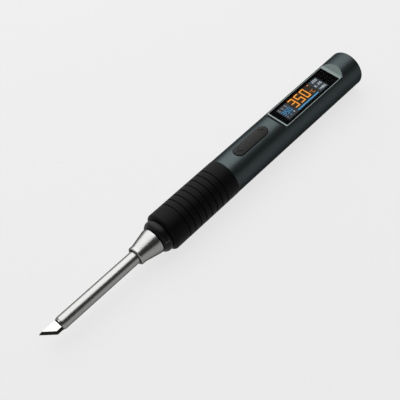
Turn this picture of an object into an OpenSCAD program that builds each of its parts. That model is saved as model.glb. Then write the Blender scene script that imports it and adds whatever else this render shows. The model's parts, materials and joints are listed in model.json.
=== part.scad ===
// Pen-shaped electronic soldering iron: a plug-in knife-tip cartridge held by a collet nut, a rubber grip over a
// metal housing, a two-way rocker key over two switches, a display under glass and a USB-C inlet.
// Stations are millimetres along the iron from the point of the tip; heights are above the iron's axis.

/* [Tip and cartridge] */
// Length of the knife blade, from its point to the round shank
blade_len = 8.3; // [7:0.1:10]
// How far the slanted cutting edge reaches back from the point
edge_run = 4.8; // [4:0.1:6.5]
// Thickness of the knife between its two flat faces
blade_t = 2.8; // [2:0.1:3.6]
// Diameter of the round shank behind the knife
shank_d = 5; // [4.5:0.1:5]
// Outside diameter of the cartridge's steel barrel
barrel_d = 5.9; // [5.8:0.05:5.95]
// Length of barrel that stands out of the nut
barrel_out = 41.5; // [30:0.5:60]
// Length of cartridge hidden in the handle, behind the nut's front
barrel_in = 44.6; // [43:0.1:46]

/* [Collet nut and nose] */
// Length of the polished cone nut
nut_len = 10.9; // [10:0.1:12]
// Diameter of the nut's front lip
nut_front_d = 8.6; // [8:0.1:9]
// Diameter of the nut's rear band
nut_rear_d = 12; // [11.6:0.1:12.6]
// Length of the black nose collar that shows
collar_len = 4.3; // [3.8:0.1:5]
// Diameter of the nose collar
collar_d = 15.3; // [14.6:0.1:15.6]
// Turns that the nut is unscrewed to free the cartridge
nut_turns = 2; // [1:1:2]
// Pitch of the nut's thread
nut_pitch = 0.75; // [0.5:0.05:0.75]

/* [Handle] */
// Length of the rubber grip
grip_len = 39.3; // [36:0.1:44]
// Outside diameter of the rubber grip
grip_d = 18.2; // [18:0.1:19]
// Number of grooves round the grip
groove_count = 8; // [4:1:9]
// Distance from one groove to the next
groove_pitch = 3.36; // [3:0.01:3.5]
// Length of round housing behind the display's flat
tail_len = 12.3; // [11:0.1:16]
// Outside diameter of the housing
body_d = 18; // [17.8:0.1:18.2]
// Diameter of the housing's bore
bore_d = 13; // [12.8:0.1:13.2]

/* [Rocker key] */
// Length of the rocker key
key_len = 20.6; // [19:0.1:22]
// Width of the rocker key
key_w = 5.4; // [5:0.1:5.6]
// How far the key stands above the housing
key_proud = 0.35; // [0.2:0.05:0.6]
// Distance from the grip to the key's middle
key_back = 17.9; // [16:0.1:19]
// Tilt of the key each way, in degrees
key_tilt = 1.8; // [1:0.1:1.8]

/* [Display] */
// Height of the milled flat above the axis
flat_h = 6.8; // [6.75:0.05:6.9]
// Distance from the grip to the front of the flat
flat_back = 35.4; // [35:0.1:36]
// Length of the display glass
glass_len = 37.9; // [34:0.1:42]
// Width of the display glass
glass_w = 10.9; // [10:0.1:11]

/* [Hidden] */
$fn = 96;

// Stations along the iron
front_rim = [0.6, 0.85]; // flat left bare in front of the bezel, then the bezel's front rim
rear_strip = 1.85;       // broad strip of the bezel behind the glass
nut_front = blade_len + barrel_out;
collar_front = nut_front + nut_len;
grip_front = collar_front + collar_len;
grip_rear = grip_front + grip_len;
cartridge_rear = nut_front + barrel_in;
key_mid = grip_rear + key_back;
flat_front = grip_rear + flat_back;
glass_front = flat_front + front_rim[0] + front_rim[1];
flat_rear = glass_front + glass_len + rear_strip;
body_rear = flat_rear + tail_len;

// Gaps
seat = 0.05;      // between pieces that are fixed to each other
running = 0.05;   // between pieces that turn or slide in each other
joint_gap = 0.15; // behind the nut, so that it never rubs the nose collar

// Cartridge
barrel_r = barrel_d / 2;
barrel_wall = 0.4;
shank_r = min(shank_d / 2, barrel_r - barrel_wall - seat); // never wider than the barrel's bore
barrel_front = blade_len;
stem_out = 12;        // stem length behind the barrel
barrel_rear = cartridge_rear - stem_out;
barrel_chamfer = 1.3; // length of the barrel's rounded front edge
crimp_depth = 0.2;    // of the groove crimped in the barrel just inside the nut
crimp_len = 1.7;
crimp_front = nut_front - 0.1;
edge_half = 0.12;     // half the thickness left at the cutting edge
edge_band = 0.75;     // width of the ground band beside the cutting edge
shank_in = 7;         // shank length inside the barrel
core_gap = 0.5;       // from the shank to the heater core
core_r = 2.2;
core_len = 34;
stem_in = 8;          // stem length inside the barrel
stem_shoulder = 0.8;
stem_r = 2.25;
ring_groove_r = 1.9;
ring_len = 3;
ring_starts = [barrel_rear + 2.5, barrel_rear + 8];

// Nut, collet and nose bush
nut_lip = 0.4;        // chamfer of the nut's front lip
nut_band = 2.2;       // plain band behind the lip
nut_rear_band = 1.05; // plain band at the nut's rear
nut_bore_r = barrel_r + 0.15;
nut_taper_r = [3.35, 4.25];
nut_taper = [nut_front + nut_band - 0.1, nut_front + 6];
collet_bore_r = barrel_r + running;
collet_clear = 0.1;
collet_slope = (nut_taper_r[1] - nut_taper_r[0]) / (nut_taper[1] - nut_taper[0]);
collet_stem_r = 3.5;
nut_travel = nut_turns * nut_pitch;
collet_len = 9.2 + nut_travel; // its stem stays in the spigot when the nut is undone
slot_w = 0.4;         // of the cuts that split the collet
slot_stop = 2;        // collet stem left uncut
spigot_r = nut_taper_r[1] - 0.1;
spigot_bore_r = collet_stem_r + running;
spigot_front = nut_taper[1] + 0.5;
bush_guide_r = barrel_r + 0.2;
bush_stem_len = 11.3;
bush_guide_front = collar_front + 2.4;
collar_flare = 2.75;  // length of the collar's flared front
collar_shoulder = 2.7; // radius that rounds the flare's rear
collar_step = [0.35, 0.65]; // [depth, length] of the step that the grip's front covers
notch = [2, 0.36, 0.12];    // [length, width, depth] of the index notch
notch_back = 1.4;     // from the collar's front
notch_turn = 65;      // round the axis from the top
seal_at = grip_front + 5.3;
seal_groove = [1, 0.85];    // [length, depth]
seal_wire_r = 0.42;

// Housing and grip
body_r = body_d / 2;
grip_r = grip_d / 2;
bore_r = bore_d / 2;
neck_r = 7.2;
neck_bore_r = 5.9;
neck_end = grip_rear + 1.6;
rear_fillet = 0.7;
grip_chamfer = [1.4, 1.3];  // [depth, length] of the grip's front edge
groove_w = 0.45;
groove_depth = 0.45;
first_groove = grip_front + 8.5;

// Boards, stacked one over the other, and the chassis that they slide into
board_t = 0.8;
power_top = -2;
power_z = power_top - board_t;
control_z = 1.6;
control_top = control_z + board_t;
board_w = 10.6;
tongue_w = 8.8;
control_w = 11.2;
chassis_r = bore_r - 0.1;
chassis_front = grip_rear + 2;
chassis_rear = body_rear - 6.2;
control_front = chassis_front + 1;
control_rear = flat_rear + 1.5;
tongue_front = cartridge_rear + 5;
channel_w = 9.8;      // between the chassis's rails
cavity_w = 8;         // of the hollow under the power board
cavity_floor = -5.2;
rear_block = 4;       // solid rear of the chassis, for the end screws
tongue_root = 2;      // from the chassis's front back to where the power board widens
header_len = 8;
header_w = 5;
header_back = 6;      // from the control board's rear
chips = [[12, 5], [22, 4], [-4, 4]]; // [distance behind the display module's front, width]
spacer_in = [2.5, 2.1];              // from the control board's front and rear ends
chip_h = 0.9;
inductor_w = 6.6;
inductor_back = 4.7;  // from the glass's front
inductor_h = 3;
cap = [3.2, 2.5, 2.2];
cap_pitch = 4.5;
cap_y = 2.2;
transistor = [6, 5, 1];
transistor_pitch = 7;
spacer_r = 1.5;
spacer_floor = 0.8;
small_head_t = 0.7;

// Rocker key and its switches
key_top = body_r + key_proud;
key_under = 6.1;
pin_z = 5;
pin_r = 0.5;
pin_len = 4.8;
boss_w = 2.4;
ear_gap = 0.3;
ear_t = 0.9;
lever = 8;            // from the pin to each switch
nub_r = 0.6;
end_swing = (key_top - pin_z) * sin(key_tilt); // how far the key's top edges swing fore and aft
slot_gap = end_swing + 0.1;
switch_w = 3.6;
switch_h = 1.5;
plunger_r = 0.8;
plunger_top = 4.65;
plunger_len = 1.55;
press = lever * sin(key_tilt); // how far a full tilt moves a plunger
well_floor = plunger_top - plunger_len - press - 0.15;
nub_gap = 0.03;
bracket_t = 1;
bracket_w = 6;
bracket_half = 5.3;
ear_half = 1.5;
ear_top = 5.8;
bracket_screw_at = 4;
bracket_head_r = 1.1;
boss_half = 1.3;
snap_half = 0.35;     // half the slit that lets the boss snap over the pin
mark_arm = 1.5;       // arm of an engraved chevron
mark_w = 0.3;
mark_cut = 0.2;
mark_spread = 38;     // half its angle

// Display stack
ramp_front = 1.3;     // run of the steep ramp in front of the flat, for its full rise
ramp_rear = 2.45;     // run of the gentle ramp behind the flat
glass_t = 1;
glass_top = flat_h + 0.25;
glass_z = glass_top - glass_t;
bezel_front = flat_front + front_rim[0];
bezel_w = 2 * sqrt(body_r * body_r - flat_h * flat_h); // as wide as the flat
bezel_top = flat_h + 0.3;
ledge_z = glass_z - 0.1;
ledge_w = glass_w - 1.2;
ledge_inset = 1.7;
panel_len = glass_len - 4.3;
panel_w = 9.3;
panel_t = 1.3;
panel_z = ledge_z - panel_t - 0.02;
panel_front = glass_front + 1.95;
frame_w = 8.6;
frame_wall = 1;
flex_w = 6;

// Contacts behind the cartridge
block_front = barrel_rear - 2;
block_rear = cartridge_rear + 4.5;
block_r = neck_bore_r - seat;
leaf_t = 0.3;
leaf_w = 1.2;
leaf_r = 3.9;
leaf_tail = block_rear + 1.6;
leaf_foot = 0.5;
leaf_back = 1.4;      // from the contact point to the leaf's free end
leaf_rise = 1.8;      // from the contact point to the straight part
leaf_slot = 2;        // from the contact point to the front of its slot
leaf_points = [                                   // [contact station, radius there, angle round the axis]
    [barrel_rear - 0.9, barrel_r + running, 0],
    [ring_starts[0] + ring_len / 2, stem_r + running, 90],
    [ring_starts[1] + ring_len / 2, stem_r + running, 180]
];

// USB-C inlet and the rear plug
usb_z = -0.4;
usb_w = 8.94;
usb_h = 3.2;
usb_wall = 0.3;
usb_mouth = body_rear - 0.4;
usb_len = 7.35;
plug_front = chassis_rear + 0.2;
plug_rear = body_rear - 0.3;
plug_r = bore_r - seat;
screw_y = 3.2;
screw_z = -3.95;
screw_r = 0.7;
screw_head_r = 1.25;
screw_head_t = 0.8;
screw_bite = 3.2;
cross_len = 1.5;
cross_w = 0.36;
cross_depth = 0.4;
usb_back = 1;
tongue = [6.7, 0.7];
tongue_set = 0.8;     // from the mouth to the tongue's end

// ---- Shared shapes ----

// The finished place: tip towards -X, display up, lowest point of the grip at height 0
module placed() translate([-body_rear / 2, 0, grip_r]) children();

// A turned piece; its outline's points are [radius, station]
module spun(outline) rotate([0, 90, 0]) rotate_extrude() polygon(outline);

// A round bar between two stations
module bar(from, to, r) translate([from, 0, 0]) rotate([0, 90, 0]) cylinder(h = to - from, r = r);

// A tube between two stations
module tube(from, to, r, bore) difference() {
    bar(from, to, r);
    bar(from - 1, to + 1, bore);
}

// A box from one station to another, centred on the axis across, between two heights
module block(from, to, w, low, high) translate([from, -w / 2, low]) cube([to - from, w, high - low]);

// An upright pill, long along X, centred on a station
module pill(at, len, w, low, high) translate([at, 0, low]) linear_extrude(high - low) {
    square([len - w, w], center = true);
    for (end = [-1, 1]) translate([end * (len - w) / 2, 0]) circle(d = w);
}

// An upright round post
module post(at, y, low, high, r) translate([at, y, low]) cylinder(h = high - low, r = r);

// A bent strip: the area between a line of [station, height] points and the same line shifted
module strip(points, w, shift) rotate([90, 0, 0]) translate([0, 0, -w / 2]) linear_extrude(w)
    polygon(concat(points, [for (i = [len(points) - 1 : -1 : 0]) points[i] + shift]));

// ---- Cartridge ----

// Iron-plated knife: a round shank with two flats, cut off on a slant and ground to an edge on both sides
module tip_blade() color([0.80, 0.80, 0.79]) {
    edge_angle = atan2(2 * shank_r, edge_run);
    half = blade_t / 2;
    reach = blade_len + 2 * shank_r;
    intersection() {
        bar(0, blade_len + 0.01, shank_r);
        translate([0, shank_r, 0]) rotate([0, 0, -edge_angle]) rotate([90, 0, 90]) translate([0, 0, -reach])
            linear_extrude(2 * reach) polygon([
                [0, -edge_half], [edge_band, -half], [reach, -half],
                [reach, half], [edge_band, half], [0, edge_half]
            ]);
    }
    bar(blade_len, barrel_front + shank_in, shank_r);
}

// Stainless sleeve with a chamfered front edge
module cartridge_barrel() color([0.74, 0.74, 0.74]) {
    bore = barrel_r - barrel_wall;
    spun([
        [bore, barrel_front], [bore + 0.02, barrel_front], [barrel_r, barrel_front + barrel_chamfer],
        [barrel_r, crimp_front], [barrel_r - crimp_depth, crimp_front],
        [barrel_r - crimp_depth, crimp_front + crimp_len], [barrel_r, crimp_front + crimp_len],
        [barrel_r, barrel_rear], [bore, barrel_rear]
    ]);
}

// Ceramic heater and sensor rod, sealed in the barrel
module heater_core() color([0.93, 0.92, 0.88])
    bar(barrel_front + shank_in + core_gap, barrel_front + shank_in + core_gap + core_len, core_r);

// Insulating stem that carries the two contact rings
module cartridge_stem() color([0.90, 0.88, 0.80]) difference() {
    union() {
        bar(barrel_rear - stem_in, barrel_rear, barrel_r - barrel_wall - seat);
        bar(barrel_rear, barrel_rear + stem_shoulder, barrel_r - seat);
        bar(barrel_rear + stem_shoulder, cartridge_rear, stem_r);
    }
    for (start = ring_starts) tube(start, start + ring_len, stem_r + 1, ring_groove_r);
}

// Two gold-plated rings set flush in the stem
module contact_rings() color([0.83, 0.68, 0.36])
    for (start = ring_starts) tube(start + seat, start + ring_len - seat, stem_r, ring_groove_r + seat);

// ---- Collet, nut and nose ----

// Split brass collet: a tapered head on a thin stem, slit from the front by three cuts
module collet() color([0.78, 0.62, 0.33]) difference() {
    head_front = nut_taper[0] + 0.4;
    head_rear = nut_taper[1] - 0.1;
    spun([
        [collet_bore_r, head_front],
        [nut_taper_r[0] + collet_slope * (head_front - nut_taper[0]) - collet_clear, head_front],
        [nut_taper_r[0] + collet_slope * (head_rear - nut_taper[0]) - collet_clear, head_rear],
        [spigot_r, head_rear + 0.3],
        [collet_stem_r, head_rear + 0.3],
        [collet_stem_r, head_front + collet_len],
        [collet_bore_r, head_front + collet_len]
    ]);
    for (turn = [0 : 60 : 120]) rotate([turn, 0, 0])
        block(head_front - 1, head_front + collet_len - slot_stop, 3 * spigot_r, -slot_w / 2, slot_w / 2);
}

// Polished steel cone nut; its inner taper squeezes the collet
module collar_nut() color([0.80, 0.80, 0.80]) {
    nut_rear = collar_front - joint_gap;
    front_r = nut_front_d / 2;
    rear_r = nut_rear_d / 2;
    spun([
        [nut_bore_r, nut_front],
        [front_r - nut_lip, nut_front],
        [front_r, nut_front + nut_lip],
        [front_r, nut_front + nut_band],
        [rear_r, nut_rear - nut_rear_band],
        [rear_r, nut_rear - 0.15],
        [rear_r - 0.15, nut_rear],
        [nut_taper_r[1], nut_rear],
        [nut_taper_r[1], nut_taper[1]],
        [nut_taper_r[0], nut_taper[0]],
        [nut_bore_r, nut_taper[0]]
    ]);
}

// Black nose: spigot under the nut, flared collar, notch and a stem fixed in the housing's neck
module nose_bush() color([0.06, 0.06, 0.06]) difference() {
    collar_r = collar_d / 2;
    step_r = collar_r - collar_step[0];
    step_front = grip_front - collar_step[1];
    shoulder = [
        for (a = [45 : -15 : 0])
            [collar_r - collar_shoulder * (1 - cos(a)), collar_front + collar_flare - collar_shoulder * sin(a)]
    ];
    spun(concat(
        [
            [spigot_bore_r, spigot_front], [spigot_r, spigot_front], [spigot_r, collar_front],
            [nut_rear_d / 2, collar_front]
        ],
        shoulder,
        [
            [collar_r, step_front - 0.1], [step_r, step_front], [step_r, grip_front],
            [block_r, grip_front], [block_r, grip_front + bush_stem_len],
            [bush_guide_r, grip_front + bush_stem_len], [bush_guide_r, bush_guide_front],
            [spigot_bore_r, bush_guide_front]
        ]
    ));
    tube(seal_at - seal_groove[0] / 2, seal_at + seal_groove[0] / 2, block_r + 1, block_r - seal_groove[1]);
    rotate([notch_turn, 0, 0]) translate([collar_front + notch_back, -notch[1] / 2, collar_r - notch[2]])
        cube([notch[0], notch[1], 1]);
}

// O-ring between the nose's stem and the neck's bore
module nose_seal() color([0.10, 0.10, 0.10]) translate([seal_at, 0, 0]) rotate([0, 90, 0])
    rotate_extrude() translate([neck_bore_r - seal_wire_r - 0.01, 0]) circle(r = seal_wire_r, $fn = 24);

// ---- Grip and housing ----

// Rubber sleeve with plain ends and a row of grooves between
module grip_sleeve() color([0.07, 0.07, 0.07]) {
    bore = neck_r + seat;
    grooves = [
        for (i = [0 : groove_count - 1])
            for (corner = [[0, -1], [groove_depth, -1], [groove_depth, 1], [0, 1]])
                [grip_r - corner[0], first_groove + i * groove_pitch + corner[1] * groove_w / 2]
    ];
    spun(concat(
        [[bore, grip_front], [grip_r - grip_chamfer[0], grip_front], [grip_r, grip_front + grip_chamfer[1]]],
        grooves,
        [[grip_r, grip_rear - seat], [bore, grip_rear - seat]]
    ));
}

// Metal housing: neck under the grip, round body, slot for the key, flat and ramps for the display
module housing_tube() color([0.19, 0.22, 0.23]) difference() {
    rise = body_r - flat_h;
    spun(concat(
        [
            [neck_bore_r, grip_front + seat], [neck_r, grip_front + seat], [neck_r, grip_rear],
            [body_r - 0.2, grip_rear], [body_r, grip_rear + 0.2]
        ],
        [for (a = [0 : 22.5 : 90])
            [body_r - rear_fillet + rear_fillet * cos(a), body_rear - rear_fillet + rear_fillet * sin(a)]],
        [[bore_r, body_rear], [bore_r, neck_end], [neck_bore_r, neck_end]]
    ));
    pill(key_mid, key_len + 2 * slot_gap, key_w + 2 * slot_gap, 0, body_r + 1);
    rotate([90, 0, 0]) translate([0, 0, -body_r]) linear_extrude(body_d) polygon([
        [flat_front, flat_h], [flat_rear, flat_h],
        [flat_rear + 2 * ramp_rear, flat_h + 2 * rise], [flat_front - 2 * ramp_front, flat_h + 2 * rise]
    ]);
    block(glass_front - seat, glass_front + glass_len + seat, glass_w + 2 * seat, ledge_z, body_r);
    block(glass_front + ledge_inset, glass_front + glass_len - ledge_inset, ledge_w, 0, body_r);
}

// ---- Rocker key and its switches ----

// Two-way key: pill cap, snap boss on the pin and a nub over each switch; chevrons mark down and up
module rocker_key() color([0.13, 0.13, 0.13]) difference() {
    union() {
        intersection() {
            pill(key_mid, key_len, key_w, key_under, key_top + 1);
            bar(key_mid - key_len, key_mid + key_len, key_top);
        }
        block(key_mid - boss_half, key_mid + boss_half, boss_w, pin_z - 1, key_under + 0.1);
        for (side = [-1, 1]) post(key_mid + side * lever, 0, plunger_top + nub_gap, key_under + 0.1, nub_r);
    }
    translate([key_mid, 0, pin_z]) rotate([90, 0, 0]) cylinder(h = 10, r = pin_r + running, center = true);
    block(key_mid - snap_half, key_mid + snap_half, boss_w + 1, pin_z - 2, pin_z);
    for (side = [-1, 1]) for (arm = [-1, 1])
        translate([key_mid + side * lever, 0, key_top - mark_cut])
            rotate([0, 0, 90 * (1 + side) + arm * mark_spread])
                translate([-mark_w / 2, -mark_w / 2, 0]) cube([mark_arm, mark_w, 1]);
}

// Steel pin that the key rocks on
module rocker_pin() color([0.70, 0.70, 0.70])
    translate([key_mid, 0, pin_z]) rotate([90, 0, 0]) cylinder(h = pin_len, r = pin_r, center = true);

// Moulded bracket with two ears for the pin
module key_bracket() color([0.20, 0.20, 0.21]) difference() {
    union() {
        block(key_mid - bracket_half, key_mid + bracket_half, bracket_w, control_top, control_top + bracket_t);
        for (side = [-1, 1]) translate([key_mid, side * (boss_w / 2 + ear_gap + ear_t / 2), control_top])
            block(-ear_half, ear_half, ear_t, 0, ear_top - control_top);
    }
    translate([key_mid, 0, pin_z]) rotate([90, 0, 0]) cylinder(h = 10, r = pin_r + 0.01, center = true);
    for (side = [-1, 1])
        post(key_mid + side * bracket_screw_at, 0, control_top - 1, control_top + 2, screw_r + seat);
}

// Two pan-head screws that hold the bracket to the control board
module bracket_screws() color([0.62, 0.62, 0.62])
    for (side = [-1, 1]) {
        post(key_mid + side * bracket_screw_at, 0, control_z - 0.6, control_top + bracket_t, screw_r);
        post(key_mid + side * bracket_screw_at, 0, control_top + bracket_t,
             control_top + bracket_t + small_head_t, bracket_head_r);
    }

// Bodies of the two tact switches, each with a well for its plunger
module switch_bodies() color([0.16, 0.16, 0.17])
    for (side = [-1, 1]) translate([key_mid + side * lever, 0, 0]) difference() {
        block(-switch_w / 2, switch_w / 2, switch_w, control_top, control_top + switch_h);
        post(0, 0, well_floor, control_top + switch_h + 1, plunger_r + running);
    }

// One switch plunger, on the tip side (-1) or the rear side (1) of the key's pin
module plunger(side) color([0.85, 0.83, 0.78])
    post(key_mid + side * lever, 0, plunger_top - plunger_len, plunger_top, plunger_r);
module plunger_front() plunger(-1);
module plunger_rear() plunger(1);

// ---- Display ----

// Black-backed cover glass, a little proud of the flat
module display_glass() color([0.02, 0.02, 0.02])
    block(glass_front, glass_front + glass_len, glass_w, glass_z, glass_top);

// Bright frame round the glass, seated on the flat
module display_bezel() color([0.62, 0.66, 0.65]) difference() {
    block(bezel_front, flat_rear, bezel_w, flat_h, bezel_top);
    block(glass_front - seat, glass_front + glass_len + seat, glass_w + 2 * seat, flat_h - 1, bezel_top + 1);
}

// Adhesive gasket between the glass and its ledge
module glass_gasket() color([0.12, 0.12, 0.12]) difference() {
    block(glass_front + 0.1, glass_front + glass_len - 0.1, glass_w - 0.2, ledge_z, glass_z);
    block(glass_front + ledge_inset, glass_front + glass_len - ledge_inset, ledge_w, ledge_z - 1, glass_z + 1);
}

// Colour display module under the glass
module display_panel() color([0.10, 0.14, 0.20])
    block(panel_front, panel_front + panel_len, panel_w, panel_z, panel_z + panel_t);

// White moulded frame that holds the display module up off the control board
module panel_frame() color([0.85, 0.85, 0.85]) difference() {
    block(panel_front, panel_front + panel_len, frame_w, control_top, panel_z);
    block(panel_front + frame_wall, panel_front + panel_len - frame_wall, frame_w - 2 * frame_wall,
          control_top - 1, panel_z + 1);
}

// Ribbon from the display module down to the control board
module display_flex() color([0.80, 0.55, 0.15]) {
    end = panel_front + panel_len;
    strip([[end, panel_z + 0.4], [end + 0.7, panel_z + 0.3], [end + 1.2, panel_z - 0.4], [end + 1.4, control_top]],
          flex_w, [0.2, 0.1]);
}

// ---- Boards ----

// Upper board: controller, switches and display
module control_board() color([0.05, 0.25, 0.15]) difference() {
    block(control_front, control_rear, control_w, control_z, control_top);
    for (side = [-1, 1])
        post(key_mid + side * bracket_screw_at, 0, control_z - 1, control_top + 1, screw_r + seat);
    for (at = spacer_stations()) post(at, 0, control_z - 1, control_top + 1, screw_r + seat);
}

// Controller, memory and sensor chips
module control_chips() color([0.09, 0.09, 0.09]) {
    for (chip = chips) translate([panel_front + chip[0], 0, 0])
        block(-chip[1] / 2, chip[1] / 2, chip[1], control_top, control_top + chip_h);
}

function spacer_stations() = [control_front + spacer_in[0], control_rear - spacer_in[1]];

// Brass spacers that hold the two boards apart
module board_spacers() color([0.75, 0.60, 0.30])
    for (at = spacer_stations()) difference() {
        post(at, 0, power_top, control_z, spacer_r);
        post(at, 0, power_top + spacer_floor, control_z + 1, screw_r + seat);
    }

// Screws down through the control board into the spacers
module spacer_screws() color([0.62, 0.62, 0.62])
    for (at = spacer_stations()) {
        post(at, 0, power_top + spacer_floor + 0.2, control_top, screw_r);
        post(at, 0, control_top, control_top + small_head_t, screw_head_r);
    }

// Pin header that joins the boards electrically
module board_header() color([0.08, 0.08, 0.08])
    block(control_rear - header_back - header_len, control_rear - header_back, header_w, power_top, control_z);

// Lower board: power switching, with a narrow tongue forward into the neck
module power_board() color([0.05, 0.25, 0.15]) {
    root = chassis_front + tongue_root;
    block(tongue_front, root, tongue_w, power_z, power_top);
    block(root, chassis_rear, board_w, power_z, power_top);
}

// Power inductor
module inductor() color([0.25, 0.25, 0.26])
    translate([glass_front + inductor_back, 0, 0])
        block(0, inductor_w, inductor_w, power_top, power_top + inductor_h);

// Storage capacitors, in two rows of three
module capacitors() color([0.62, 0.50, 0.36])
    for (i = [0 : 2]) for (side = [-1, 1]) translate([key_mid + lever + i * cap_pitch, side * cap_y, 0])
        block(0, cap[0], cap[1], power_top, power_top + cap[2]);

// Two power transistors
module power_transistors() color([0.09, 0.09, 0.09])
    for (i = [-1, 0]) translate([key_mid + i * transistor_pitch, 0, 0])
        block(0, transistor[0], transistor[1], power_top, power_top + transistor[2]);

// ---- Contacts ----

// Moulded block behind the cartridge, bored for it and slotted for three leaf contacts
module contact_block() color([0.75, 0.73, 0.66]) difference() {
    bar(block_front, block_rear, block_r);
    bar(block_front - 1, barrel_rear + 1.2, bush_guide_r);
    bar(barrel_rear, cartridge_rear + 0.8, stem_r + 0.1);
    for (leaf = leaf_points) rotate([leaf[2] - 90, 0, 0])
        block(leaf[0] - leaf_slot, block_rear + 1, leaf_w + 0.2, leaf[1] - running, leaf_r + leaf_t + 0.3);
}

// Three leaf contacts: one on the barrel and one on each ring, their tails soldered to the power board
module contact_springs() color([0.83, 0.68, 0.36])
    for (leaf = leaf_points) {
        rotate([leaf[2] - 90, 0, 0]) strip([
            [leaf[0] - leaf_back, leaf[1] + leaf_back / 2], [leaf[0], leaf[1]],
            [leaf[0] + leaf_rise, leaf_r], [leaf_tail, leaf_r]
        ], leaf_w, [0, leaf_t]);
        side = cos(leaf[2]);
        foot = leaf_tail - leaf_foot;
        if (leaf[2] == 90)
            block(foot, leaf_tail, leaf_w, power_top, leaf_r + leaf_t);
        else
            translate([0, -side * (leaf_r + leaf_t / 2), 0]) block(foot, leaf_tail, leaf_t, power_top, 0);
    }

// ---- Chassis and rear ----

// Moulded trough that the boards slide into; the end screws bite in its solid rear block
module chassis() color([0.22, 0.22, 0.23]) difference() {
    intersection() {
        bar(chassis_front, chassis_rear, chassis_r);
        block(chassis_front, chassis_rear, 2 * chassis_r, -chassis_r, control_z);
    }
    block(chassis_front - 1, chassis_rear + 1, channel_w, power_top, control_z + 1);
    block(chassis_front - 1, chassis_rear + 1, board_w + 2 * seat, power_z, power_top + seat);
    block(chassis_front + 2, chassis_rear - rear_block, cavity_w, cavity_floor, power_z + 1);
    for (side = [-1, 1]) translate([0, side * screw_y, screw_z])
        bar(chassis_rear - screw_bite - 0.2, chassis_rear + 1, screw_r);
}

// Outline of the USB-C shell, centred, w across and h high
module usb_outline(w, h) {
    square([w - h, h], center = true);
    for (side = [-1, 1]) translate([side * (w - h) / 2, 0]) circle(d = h);
}
module usb_solid(from, to, w, h) translate([from, 0, usb_z]) rotate([90, 0, 90])
    linear_extrude(to - from) usb_outline(w, h);

// Steel shell of the USB-C inlet, closed at the back
module usb_shell() color([0.72, 0.72, 0.72]) difference() {
    usb_solid(usb_mouth - usb_len, usb_mouth, usb_w, usb_h);
    usb_solid(usb_mouth - usb_len + usb_back, usb_mouth + 1, usb_w - 2 * usb_wall, usb_h - 2 * usb_wall);
}

// Contact tongue inside the inlet
module usb_tongue() color([0.08, 0.08, 0.08])
    block(usb_mouth - usb_len + usb_back, usb_mouth - tongue_set, tongue[0],
          usb_z - tongue[1] / 2, usb_z + tongue[1] / 2);

// Black plug that closes the rear of the housing round the inlet
module end_plug() color([0.07, 0.07, 0.07]) difference() {
    bar(plug_front, plug_rear, plug_r);
    usb_solid(plug_front - 1, plug_rear + 1, usb_w + 0.2, usb_h + 0.2);
    for (side = [-1, 1]) translate([0, side * screw_y, screw_z]) {
        bar(plug_front - 1, plug_rear + 1, screw_r + seat);
        bar(plug_rear - screw_head_t - 0.1, plug_rear + 1, screw_head_r + seat);
    }
}

// Two screws through the plug into the chassis
module end_screws() color([0.55, 0.55, 0.55])
    for (side = [-1, 1]) translate([0, side * screw_y, screw_z]) difference() {
        union() {
            bar(chassis_rear - screw_bite, plug_rear - screw_head_t, screw_r);
            bar(plug_rear - screw_head_t - 0.1, plug_rear - 0.1, screw_head_r);
        }
        for (turn = [0, 90]) rotate([turn, 0, 0])
            block(plug_rear - 0.1 - cross_depth, plug_rear + 1, cross_len, -cross_w / 2, cross_w / 2);
    }

placed() tip_blade();
placed() cartridge_barrel();
placed() heater_core();
placed() cartridge_stem();
placed() contact_rings();
placed() collet();
placed() collar_nut();
placed() nose_bush();
placed() nose_seal();
placed() grip_sleeve();
placed() housing_tube();
placed() rocker_key();
placed() rocker_pin();
placed() key_bracket();
placed() bracket_screws();
placed() switch_bodies();
placed() plunger_front();
placed() plunger_rear();
placed() display_glass();
placed() display_bezel();
placed() glass_gasket();
placed() display_panel();
placed() panel_frame();
placed() display_flex();
placed() control_board();
placed() control_chips();
placed() board_spacers();
placed() spacer_screws();
placed() board_header();
placed() power_board();
placed() inductor();
placed() capacitors();
placed() power_transistors();
placed() contact_block();
placed() contact_springs();
placed() chassis();
placed() usb_shell();
placed() usb_tongue();
placed() end_plug();
placed() end_screws();
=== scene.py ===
import json
import math
import bmesh
import bpy
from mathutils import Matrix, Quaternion, Vector
from mathutils.bvhtree import BVHTree

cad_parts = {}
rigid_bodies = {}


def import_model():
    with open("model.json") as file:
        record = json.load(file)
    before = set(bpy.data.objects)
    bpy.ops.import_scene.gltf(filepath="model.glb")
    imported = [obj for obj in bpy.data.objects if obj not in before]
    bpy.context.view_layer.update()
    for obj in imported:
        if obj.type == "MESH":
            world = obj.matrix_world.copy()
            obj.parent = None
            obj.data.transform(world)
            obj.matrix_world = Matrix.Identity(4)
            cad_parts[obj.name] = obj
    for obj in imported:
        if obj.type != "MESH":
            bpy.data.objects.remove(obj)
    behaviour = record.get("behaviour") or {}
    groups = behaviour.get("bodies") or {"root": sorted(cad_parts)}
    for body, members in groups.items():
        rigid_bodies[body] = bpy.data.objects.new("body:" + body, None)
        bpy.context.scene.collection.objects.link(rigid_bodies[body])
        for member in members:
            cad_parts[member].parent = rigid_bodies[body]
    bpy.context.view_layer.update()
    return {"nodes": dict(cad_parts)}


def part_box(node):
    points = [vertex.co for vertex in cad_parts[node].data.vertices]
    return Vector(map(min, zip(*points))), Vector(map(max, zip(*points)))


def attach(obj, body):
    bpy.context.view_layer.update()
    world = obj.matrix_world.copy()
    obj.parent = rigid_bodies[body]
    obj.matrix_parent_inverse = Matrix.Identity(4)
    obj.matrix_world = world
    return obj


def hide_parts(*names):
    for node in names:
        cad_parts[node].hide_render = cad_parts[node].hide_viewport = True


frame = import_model()


# ---- Camera ----
# A 72 mm lens on a 36 mm sensor looks down on the iron from the tip's side, a little rolled.
# The image points are pixels of the 400 x 400 photograph: the iron's four edges and features along it.

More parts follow.
